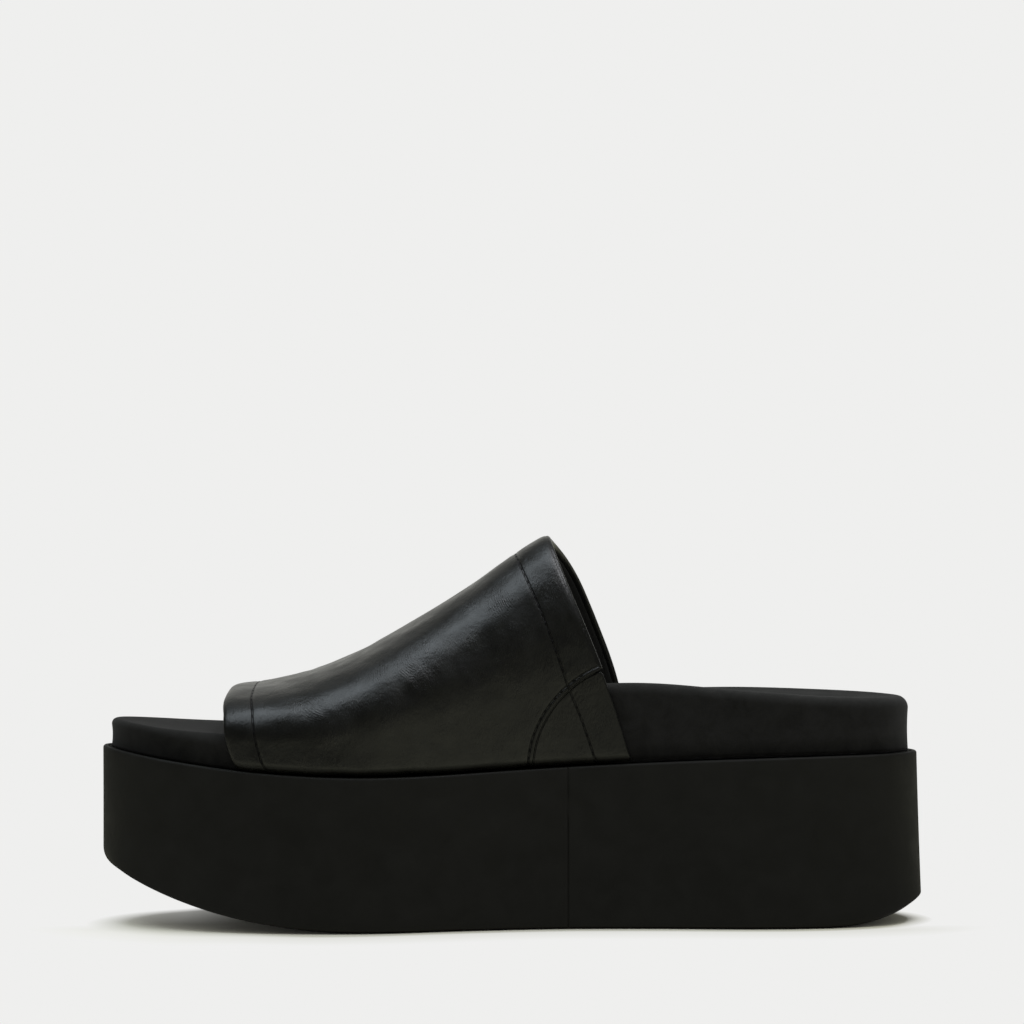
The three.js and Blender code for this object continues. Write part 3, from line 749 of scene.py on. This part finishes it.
# The band over the foot as rows from its inner turned margin over the ridge to the outer one
def edge_across(side):
    turn = np.linspace(0, 1, 3000, endpoint=False)
    x0, _ = outline_point(turn, 0)
    x, y = outline_point(turn, footbed_inset(x0) - BAND_WALL - CLEARANCE - SIDE_EASE)
    keep = y * side > 0
    order = np.argsort(x[keep])
    xs, ys = x[keep][order], y[keep][order]
    return lambda at: np.interp(at, xs, ys)


band_edge = {-1: edge_across(-1), 1: edge_across(1)}


def half_rows(side, low_rows, high_rows):
    """Rows of one side, closer together low on the side where the corner panel is."""
    parts = [("margin", 1, 4), ("turn", 1, 7), ("wall", 1, 11 if side < 0 else 5), ("arch", 0.45, low_rows)]
    rows = [(part, side, t) for part, end, count in parts for t in np.linspace(0, end, count + 1)[:-1]]
    return rows + [("arch", side, t) for t in np.linspace(0.45, 1, high_rows)]


ROWS = half_rows(-1, 68, 50) + half_rows(1, 30, 38)[::-1][1:]
EVERY_ROW = np.arange(len(ROWS))
RIDGE_ROW = next(k for k, row in enumerate(ROWS) if row[0] == "arch" and row[2] == 1)


def row_point(row, x):
    """Across and height of one row of the band at places x."""
    part, side, t = row
    share = from_heel(x)
    edge = band_edge[side](x)
    base = platform_top(x) + CLEARANCE
    shoulder = footbed_edge(x, side * BALL_WIDTH + 0 * x) - FOOTBED_ROUND / 2
    if part == "margin":
        return edge - side * (TURN_RADIUS + TURNED_MARGIN * (1 - t)), base
    if part == "turn":
        a = t * pi / 2
        return edge - side * TURN_RADIUS * (1 - sin(a)), base + TURN_RADIUS * (1 - cos(a))
    if part == "wall":
        return edge + 0 * x, lerp(base + TURN_RADIUS, shoulder, t)
    ridge_y = band_across(share) * BALL_WIDTH
    ridge_z = footbed_edge(x, 0 * x) + INSTEP_RISE * band_ridge(share)
    ys = (edge, edge, lerp(ridge_y, edge, band_top(share)), ridge_y)
    zs = (shoulder, lerp(shoulder, ridge_z, band_side(share)), ridge_z, ridge_z)
    w = ((1 - t) ** 3, 3 * t * (1 - t) ** 2, 3 * t * t * (1 - t), t**3)
    return sum(a * b for a, b in zip(w, ys)), sum(a * b for a, b in zip(w, zs))


def edge_place(opening, k):
    """Where an open edge of the band crosses one row."""
    side = "inner" if k < RIDGE_ROW else "outer"
    foot, bow = opening[side], opening[side + "_bow"]
    high = row_point(ROWS[RIDGE_ROW], np.array(place_x(opening["ridge"])))[1]
    x = np.array(place_x(foot))
    for _ in range(9):
        low = row_point(ROWS[0], x)[1]
        t = np.clip((row_point(ROWS[k], x)[1] - low) / (high - low), 0, 1)
        x = np.array(place_x(lerp(foot, opening["ridge"], t) - bow * 4 * t * (1 - t)))
    return float(x)


front_x = np.array([edge_place(TOE_OPENING, k) for k in EVERY_ROW])
back_x = np.array([edge_place(THROAT, k) for k in EVERY_ROW])


def rise_share(x):
    """Share of the way up to the ridge of each row, along one open edge."""
    z = np.array([float(row_point(ROWS[k], np.array(x[k]))[1]) for k in EVERY_ROW])
    return (z - z.min()) / (z.max() - z.min())


front_rise, back_rise = rise_share(front_x), rise_share(back_x)
toe_hem = lerp(*TOE_HEM, front_rise**3)
throat_hem = lerp(*THROAT_HEM, back_rise) + column(HEM_BOW, 1)(back_rise)
front_x = front_x + 0.55 + 0.55 * np.sin(pi * front_rise) - 0.8 * smoothstep(front_rise, 0.7, 0.88)
outer_side = EVERY_ROW > RIDGE_ROW
back_x = back_x - np.where(outer_side, column(THROAT_TRIM, 2)(back_rise), column(THROAT_TRIM, 1)(back_rise))
QUARTER_REAR = place_x(THROAT["inner"])
QUARTER_FOOT = float(platform_top(QUARTER_REAR))


def seam_place(k, grow=0.0):
    """Where the corner panel's curved seam crosses a row of the inner side."""
    if k > RIDGE_ROW:
        return 1e9
    length, height = QUARTER_LENGTH + grow, QUARTER_HEIGHT + grow
    x = QUARTER_REAR - length / 2
    for _ in range(40):
        z = float(row_point(ROWS[k], np.array(x))[1])
        up = max(0.0, (z - QUARTER_FOOT) / height)
        if up >= 1:
            return 1e9
        x = lerp(x, QUARTER_REAR - length * (1 - up**QUARTER_FULLNESS) ** (1 / QUARTER_FULLNESS), 0.6)
    return x


seam_x = np.array([seam_place(k) for k in EVERY_ROW])


# Distances from the toe edge to its sewn line as shares of the way, and past the line in
# millimetres, then distances from the throat edge or the corner seam.
TO_LINE = np.array([0, 0.03, 0.07, 0.12, 0.18, 0.25, 0.33, 0.43, 0.54, 0.66, 0.78, 0.89])
PAST_LINE = np.array([-0.5, -0.25, 0, 0.25, 0.5, 0.9, 1.4, 2.0, 2.8, 3.8, 5.0])
NEAR_THROAT = np.concatenate([[0, 0.12, 0.28, 0.48, 0.72], np.arange(1.0, 14.2, 0.38), [14.9, 16.0, 17.5]])


def grid_between(rows, start, end, start_line, middle, near_end=NEAR_THROAT):
    """Points of some rows between two places, closer together near both ends."""
    xs = []
    for a, b, to_line in zip(start, end, start_line):
        first = np.concatenate([TO_LINE * (to_line - 0.5), to_line + PAST_LINE])
        scale = min(1.0, 0.45 * (b - a) / max(first[-1], near_end[-1]))
        front, back = a + first * scale, b - (near_end * scale)[::-1]
        xs.append(np.concatenate([front, np.linspace(front[-1], back[0], middle + 2)[1:-1], back]))
    xs = np.array(xs)
    pairs = [row_point(ROWS[k], xs[i]) for i, k in enumerate(rows)]
    return np.stack([xs, np.array([p[0] for p in pairs]), np.array([p[1] for p in pairs])], 2)


def girth_of(grid):
    """Distance over the foot from the first row of a grid, in millimetres."""
    return length_along(grid[..., 1:])


def path_distance(x, g, path):
    """Distance of places from a path in the leather's own plane, and how far along it they are."""
    best = np.full(x.shape, 1e9)
    along = np.zeros(x.shape)
    for k in range(len(path) - 1):
        (ax, ag), (bx, bg) = path[k], path[k + 1]
        dx, dg = bx - ax, bg - ag
        t = np.clip(((x - ax) * dx + (g - ag) * dg) / (dx * dx + dg * dg), 0, 1)
        d = np.hypot(x - ax - t * dx, g - ag - t * dg)
        near = d < best
        best = np.where(near, d, best)
        along = np.where(near, (k + t) / (len(path) - 1), along)
    return best, along


# Creases of the leather: place along the shoe and over the foot at both ends, how far
# they bow towards the toe, depth of the trough and its width.
CREASES = [
    (-66, 33, -58, 24, 1.2, 0.06, 1.0), (-62, 36, -53, 26, 1.4, 0.075, 1.0),
    (-58, 38, -49, 28, 1.6, 0.06, 1.0), (-38, 47, -27, 31, 2.6, 0.085, 1.3),
    (-34, 49, -23, 34, 2.8, 0.075, 1.2), (-30, 52, -20, 37, 2.4, 0.055, 1.0),
    (-12, 60, -1, 43, 2.8, 0.085, 1.4), (-6, 62, 4, 47, 2.6, 0.065, 1.2),
    (-20, 96, -14, 118, -3.0, 0.14, 1.6), (-28, 92, -23, 112, -3.0, 0.12, 1.4),
    (-48, 78, -44, 96, -2.4, 0.11, 1.3), (-66, 66, -64, 84, -1.6, 0.1, 1.2),
    (-2, 100, 4, 124, -3.2, 0.12, 1.5),
]


def crease_depth(x, g):
    total = np.zeros(x.shape)
    for x0, g0, x1, g1, bow, depth, width in CREASES:
        t = np.linspace(0, 1, 9)
        path = np.stack([lerp(x0, x1, t) - bow * 4 * t * (1 - t), lerp(g0, g1, t)], 1)
        d, along = path_distance(x, g, path)
        fade = np.clip(4 * along * (1 - along), 0, 1) ** 0.7
        trough = np.exp(-((d / width) ** 2)) - 0.45 * np.exp(-(((d - 2.2 * width) / width) ** 2))
        total -= depth * fade * trough
    return total


def hem_relief(from_edge, width, puff):
    """Soft roll between an open edge and its sewn line, with a slight rise past the line."""
    roll = np.sin(pi * np.clip(from_edge / width, 0, 1)) ** 0.75
    beyond = np.exp(-(((from_edge - width - 1.6) / 1.3) ** 2))
    pinch = np.exp(-(((from_edge - width) / 0.7) ** 2))
    return puff * roll + 0.05 * beyond - 0.12 * pinch


def edge_roll(from_edge, reach, drop):
    """Rounding of the face down to an open edge, along a quarter of an ellipse."""
    t = np.clip(1 - from_edge / reach, 0, 1)
    return -drop * (1 - np.sqrt(1 - t * t * 0.96))


def from_edges(grid, rows):
    """Distance of places from the toe edge and from the throat edge."""
    return grid[..., 0] - front_x[rows, None], back_x[rows, None] - grid[..., 0]


def leather_relief(grid, rows):
    x = grid[..., 0]
    g = girth_of(grid)
    from_toe, from_throat = from_edges(grid, rows)
    uneven = 0.15 * waves(x, g, [23, 31, 41, 17], 11) + 0.06 * waves(x, g, [9, 12, 7], 12)
    inside = smoothstep(from_toe, 0, 3) * smoothstep(from_throat, 0, 3)
    creases = crease_depth(x, g) * smoothstep(from_toe, 11, 15) * smoothstep(from_throat, 12, 16)
    relief = uneven * inside + creases
    relief += hem_relief(from_toe, toe_hem[rows, None], HEM_PUFF["toe"])
    relief += hem_relief(from_throat, throat_hem[rows, None], HEM_PUFF["throat"])
    relief += edge_roll(from_toe, 1.6, 0.22)
    rise = back_rise[rows, None]
    rolled = rise**2 * (1 - 0.55 * smoothstep(rise, 0.9, 1.0))
    relief += edge_roll(from_throat, lerp(1.4, 3.6, rolled), lerp(0.28, 1.05, rolled))
    relief -= BAND_DRAWN_IN * smoothstep(from_toe, 14, 30) * smoothstep(from_throat, 14, 30)
    return relief


def wall_depth(grid, rows):
    """Thickness of the band, more where its hems are folded in."""
    from_toe, from_throat = from_edges(grid, rows)
    toe_width, throat_width = toe_hem[rows, None], throat_hem[rows, None]
    hem = np.maximum(1 - smoothstep(from_toe, toe_width, toe_width + 1.5),
                     1 - smoothstep(from_throat, throat_width, throat_width + 1.5))
    return BAND_WALL + HEM_FOLD * hem


def vamp_piece():
    rows = EVERY_ROW
    at_seam = seam_x < back_x
    grid = grid_between(rows, front_x, np.minimum(back_x, seam_x), toe_hem, 66)
    normal = normals_of(grid)
    relief = leather_relief(grid, rows)
    from_seam = seam_distance(grid)
    relief -= 0.1 * np.exp(-(((from_seam - SEAM_MARGIN) / 0.6) ** 2))
    outer = grid + normal * relief[..., None]
    depth = wall_depth(grid, rows)
    from_toe, from_throat = from_edges(grid, rows)
    lined = LINING_ROOM * smoothstep(np.minimum(from_toe, from_throat), 0.6, 1.4)
    inner = grid - normal * (depth - lined)[..., None]
    last = len(ROWS) - 1

    def bulge(here):
        """How far the rounded border stands out at places round the grid."""
        margin = (here[:, 0] == 0) | (here[:, 0] == last)
        seam_end = (here[:, 1] == grid.shape[1] - 1) & at_seam[here[:, 0]]
        toe_end = here[:, 1] == 0
        return np.where(margin, 0.2, np.where(seam_end, 0.25, np.where(toe_end, 0.75, 0.95)))

    sewing = np.stack([from_toe - toe_hem[:, None], from_throat - throat_hem[:, None],
                       np.clip(from_seam - SEAM_MARGIN, -9, 9)], 2)
    shell = grid_shell(outer, inner, bulge, HEM_ROUNDS)
    piece = make("upper_vamp", *shell, LEATHER, "upper_leather", sewing.reshape(-1, 3))
    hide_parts("upper")
    return grid, outer, normal


def seam_distance(grid):
    """Distance of places on the inner side from the corner panel's seam, outside it."""
    x, z = grid[..., 0], grid[..., 2]
    u = np.maximum(QUARTER_REAR - x, 0) / QUARTER_LENGTH
    v = np.maximum(z - QUARTER_FOOT, 0) / QUARTER_HEIGHT
    power = QUARTER_FULLNESS
    r = np.maximum(u**power + v**power, 1e-9) ** (1 / power)
    slope = np.hypot(u ** (power - 1) / QUARTER_LENGTH, v ** (power - 1) / QUARTER_HEIGHT)
    distance = (r - 1) / np.maximum(slope / r ** (power - 1), 1e-6)
    inner_side = (np.arange(grid.shape[0]) <= RIDGE_ROW)[:, None]
    return np.where(inner_side, distance, 1e3)


def lining_piece():
    rows = np.arange(0, len(ROWS), 2)
    front, back = front_x[rows], back_x[rows]
    flat = np.full(len(rows), 6.0)
    grid = grid_between(rows, front + 1.0, back - 1.0, flat, 30, np.linspace(0, 8, 12))
    normal = normals_of(grid)
    depth = wall_depth(grid, rows)
    g = girth_of(grid)
    soft = 0.12 * waves(grid[..., 0], g, [19, 27, 35], 21)
    outer = grid - normal * (depth - LINING_THICKNESS)[..., None]
    inner = grid - normal * (depth + 0.05 + 0.5 * np.abs(soft))[..., None]
    shell = grid_shell(outer, inner, lambda here: np.full(len(here), INNER_BULGE), 3)
    make("upper_lining", *shell, LINING, "upper_leather")


def quarter_piece():
    keep = np.array([k for k in range(RIDGE_ROW) if seam_x[k] + CLEARANCE + 0.9 < back_x[k] - QUARTER_TRIM])
    start, back = seam_x[keep] + CLEARANCE, back_x[keep] - QUARTER_TRIM
    grid = grid_between(keep, start, back, np.full(len(keep), 2.0), 14)
    normal = normals_of(grid, inner_side=True)
    x = grid[..., 0]
    g = girth_of(grid)
    relief = -QUARTER_STEP + 0.07 * waves(x, g, [13, 19, 27], 31)
    from_throat = back[:, None] + QUARTER_TRIM - x
    relief += hem_relief(from_throat, throat_hem[keep, None], HEM_PUFF["panel"])
    outer = grid + normal * relief[..., None]
    inner = grid - normal * (BAND_WALL - LINING_ROOM)

    def bulge(here):
        return np.where(here[:, 1] == grid.shape[1] - 1, 0.8, INNER_BULGE)

    sewing = np.full((*x.shape, 3), 9.0)
    sewing[..., 1] = from_throat - throat_hem[keep, None]
    # The third line follows the panel's edge under the vamp's lap; its groove is darkened there as painted
    # shade of the step
    sewing[..., 2] = np.clip(-0.35 - seam_distance(grid), -9, 9)
    shell = grid_shell(outer, inner, bulge, HEM_ROUNDS)
    piece = make("quarter_panel", *shell, LEATHER, "upper_leather", sewing.reshape(-1, 3))
    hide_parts("quarter")
    return keep, grid, outer, normal


# Stitches
def stitch_row(points, directions, length=2.3, gap=0.8, radius=0.17, lift=-0.02):
    """Short rounded threads laid along a line on the leather."""
    s = length_along(points)
    pitch = length + gap
    sides, rings = 8, 7
    bodies = []
    for k in range(int((s[-1] - gap) / pitch)):
        a = gap / 2 + k * pitch + rng.uniform(-0.12, 0.12)
        at = np.linspace(a, a + length, rings)
        centre, up = between(at, s, points), unit(between(at, s, directions))
        side = unit(np.cross(unit(np.gradient(centre, axis=0)), up))
        t = np.linspace(-1, 1, rings)
        thick = radius * np.clip(1 - t**6, 0.25, 1) * rng.uniform(0.92, 1.08)
        centre = centre + up * (lift - 0.25 * np.abs(t)[:, None] ** 3) + side * 0.05 * t[:, None]
        threads = [centre + thick[:, None] * (side * cos(b) + up * 0.8 * sin(b))
                   for b in (tau * q / sides for q in range(sides))]
        bodies.append(swept_body(list(np.stack(threads, 1))))
    start = np.arange(len(bodies)) * sides * rings
    faces = [np.vstack([body[1][kind] + first for body, first in zip(bodies, start)]) for kind in (0, 1)]
    return np.vstack([body[0] for body in bodies]), faces


def sew(name, surface, places, rows, *sizes):
    """Stitches along a line over some rows of a surface: its grid, its face and the way up there."""
    grid, outer, normal = surface
    points, directions = (np.array([between(at, grid[i, :, 0], values[i]) for i, at in zip(rows, places)])
                          for values in (outer, normal))
    make(name, *stitch_row(points, directions, *sizes), THREAD, "upper_leather")


def stitches(vamp, keep, *quarter):
    seen = [k for k in EVERY_ROW if ROWS[k][0] != "margin"]
    sew("stitches_toe", vamp, (front_x + toe_hem)[seen], seen)
    line = back_x - throat_hem
    free = [k for k in seen if seam_x[k] - 2.0 > line[k]]
    sew("stitches_throat", vamp, line[free], free)
    seam = np.array([seam_place(k, SEAM_MARGIN) for k in EVERY_ROW])
    along = [k for k in seen if k < RIDGE_ROW and seam[k] < back_x[k] - 0.6]
    sew("stitches_seam", vamp, seam[along], along, 1.9, 0.7, 0.15)
    rows = [i for i, k in enumerate(keep) if ROWS[k][0] != "margin" and seam_x[k] + 1.6 < line[k] - 0.4]
    sew("stitches_quarter", quarter, line[keep[rows]], rows)


sidewall_piece()
outsole_piece()
footbed_piece()
vamp = vamp_piece()
lining_piece()
stitches(vamp, *quarter_piece())

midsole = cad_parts["midsole"]
midsole.data.materials.clear()
midsole.data.materials.append(FOAM)


# Studio: pale floor, soft light from above, bright surroundings behind
WHITE = 0.863
PAPER = (WHITE, WHITE, WHITE * 0.99, 1)
REFLECTED_FLOOR = (1.0, 1.0, 0.76, 1)
SHADOW_NEAR = 4.5
SHADOW_BALL = 2.0
SHADOW_TOE = 8.0
SHADOW_TOE_FAR = 6.5


def floor():
    """A wide pale sheet with rings of points that follow the sole's outline near the shoe. Its contact
    shadow is partly real shade and partly painted, by mixing in less of its glow near the sole.
    """
    around = 288
    turn = np.arange(around) / around
    edge = np.stack(outline_point(turn, 0), 1)
    rings, away = [], []
    for share in (0.97, 0.8, 0.6, 0.45):
        rings.append(np.stack(drawn_in(edge, share), 1))
        away.append(-16.0)
    for d in (-12, -9, -6, -4, -2, 0, 1, 2, 3, 4.5, 6.5, 9, 12, 16, 22, 30, 40):
        rings.append(np.stack(outline_point(turn, -d), 1))
        away.append(d)
    out = unit(rings[-1])
    for radius in (230, 320, 460, 700, 1100, 1800, 3000, 6000):
        rings.append(out * radius)
        away.append(radius - 100)
    flat = np.vstack(rings)
    # The shadow lies a little towards the camera, most of all under the toe
    share = from_heel(flat[:, 0])
    toe = smoothstep(share, 0.8, 0.92)
    near_shift = SHADOW_NEAR + SHADOW_BALL * smoothstep(share, 0.6, 0.75) + SHADOW_TOE * toe
    flat[:, 1] -= lerp(near_shift, SHADOW_TOE_FAR * toe, smoothstep(flat[:, 1], -20, 20))
    flat[:, 0] += smoothstep(flat[:, 0], 105, 125) - 1.5 * toe
    points = np.column_stack([flat, 0 * flat[:, 0]])
    mesh = new_mesh("floor", points, strips(rings) + [np.array(f) for f in ladder(0, around, False)])
    mesh.attributes.new("away", "FLOAT", "POINT").data.foreach_set("value", np.repeat(away, around))
    look = Look("floor_paper_painted_shadow", Roughness=0.9, Specular_IOR_Level=0.0)
    place = look.parts(look.place)
    along = look.span(place["X"], -0.13, 0.13, 0.0, 1.0)
    # Painted shade: the floor's colour changes along the shoe, lighter past the toe, darker under the ball,
    # darkest under the heel and yellowish, so the contact shadow is deeper there
    look.colour(along, [(0.0, (0.68, 0.67, 0.57)), (0.25, (0.5, 0.49, 0.41)), (0.7, (0.58, 0.57, 0.48)),
                        (0.93, (0.46, 0.45, 0.36))])
    distance = look.node("ShaderNodeAttribute", attribute_name="away").outputs["Fac"]
    # Painted shadow: close to the sole's outline less glow is mixed in, so the floor darkens there
    inner_edge = look.math("SUBTRACT", look.span(along, 0.12, 0.27, -11.0, -1.5),
                           look.span(along, 0.93, 0.98, 0.0, 4.5))
    outer_edge = look.span(along, 0.12, 0.27, 3.0, 2.5)
    near = look.span(distance, inner_edge, outer_edge, 0.012, 1.0)
    # Painted shadow beside the inner side, fading out over 24 mm, and a painted lift that lightens the
    # shadow past the toe
    beside = look.span(place["Y"], -0.036, -0.022, 1.0, 0.0)
    painted_side_shadow = look.times(beside, look.span(distance, 4.0, 24.0, 0.34, 0.0))
    lit = look.times(near, look.math("SUBTRACT", 1.0, painted_side_shadow))
    painted_toe_lift = look.times(look.span(along, 0.1, 0.18, 1.0, 0.0),
                         look.span(place["Y"], -0.02, 0.024, 0.03, 0.27))
    lit_paper = look.glow("ShaderNodeEmission", PAPER, 1.0)
    paper = look.mix(look.plus(lit, painted_toe_lift), look.shader.outputs[0], lit_paper)
    # Painted reflection: glossy rays see the floor as a glow, dim close by, and dim again further off
    # towards the toe
    glossy = look.node("ShaderNodeLightPath").outputs["Is Glossy Ray"]
    towards_heel = look.span(place["X"], 0.0, 0.3, 0.0, 0.66)
    reach = look.math("MAXIMUM", look.span(distance, 130.0, 360.0, 1.0, 0.03), towards_heel)
    strength = look.times(reach, look.span(distance, 40.0, 130.0, 0.15, 0.85))
    dim = look.glow("ShaderNodeEmission", REFLECTED_FLOOR, strength)
    off = look.times(look.span(distance, 0.0, 10.0, 0.0, 1.0), glossy)
    output = look.tree.nodes["Material Output"]
    look.tree.links.new(look.mix(off, paper, dim), output.inputs["Surface"])
    mesh.materials.append(look.material)
    piece = add_object("floor", mesh)


def surroundings():
    """World: white as seen, an even fill, and in the gloss a bright back and a dim card at the front."""
    world = bpy.data.worlds.new("studio")
    world.use_nodes = True
    world.node_tree.nodes.clear()
    sky = Nodes(world.node_tree)

    def background(colour, strength):
        return sky.glow("ShaderNodeBackground", colour, strength)

    parts = sky.parts(sky.node("ShaderNodeTexCoord").outputs["Generated"])
    back = background((1.0, 1.0, 0.94, 1), sky.span(parts["Y"], 0.55, 0.97, 0.03, 0.8))
    heel_side = sky.span(parts["X"], 0.0, 0.25, 0.0, 1.0)
    front = sky.times(sky.span(parts["Y"], -0.8, -0.5, 1.0, 0.0), heel_side)
    front = sky.times(front, sky.span(parts["Z"], 0.08, 0.36, 0.38, 0.0))
    gloss = sky.node("ShaderNodeAddShader", {0: back, 1: background(REFLECTED_FLOOR, front)}).outputs[0]
    path = sky.node("ShaderNodeLightPath").outputs
    light = sky.mix(path["Is Diffuse Ray"], gloss, background((1.0, 1.0, 1.0, 1), 0.72))
    seen = sky.mix(path["Is Camera Ray"], light, background(PAPER, 1.0))
    sky.node("ShaderNodeOutputWorld", {"Surface": seen})
    bpy.context.scene.world = world


def softbox(name, place, target, size, power, tint=(1, 1, 1)):
    data = bpy.data.lights.new(name, "AREA")
    data.shape = "RECTANGLE"
    data.size, data.size_y = size
    data.energy = power
    data.color = tint
    light = add_object(name, data)
    light.location = place
    light.rotation_euler = (Vector(target) - Vector(place)).to_track_quat("-Z", "Y").to_euler()


floor()
surroundings()
softbox("softbox_top", (-0.4, -0.05, 1.25), (-0.02, 0.0, 0.06), (0.6, 1.05), 6.8, (0.84, 0.93, 1.0))
softbox("softbox_right", (0.42, -0.06, 1.2), (0.02, 0.0, 0.1), (0.42, 0.6), 5.8, (0.95, 0.96, 1.0))

# Camera: level, with the photograph's angle
CAMERA_AWAY = 1.2
CAMERA_HEIGHT = 0.128

camera_data = bpy.data.cameras.new("camera")
camera_data.lens = 133.594
camera_data.sensor_width = 36
camera_data.clip_start = 0.05
camera_data.clip_end = 50
camera = add_object("camera", camera_data)
camera.location = (0, -CAMERA_AWAY, CAMERA_HEIGHT)
camera.rotation_euler = (pi / 2, 0, 0)
bpy.context.scene.camera = camera
bpy.context.scene.view_settings.view_transform = "Standard"
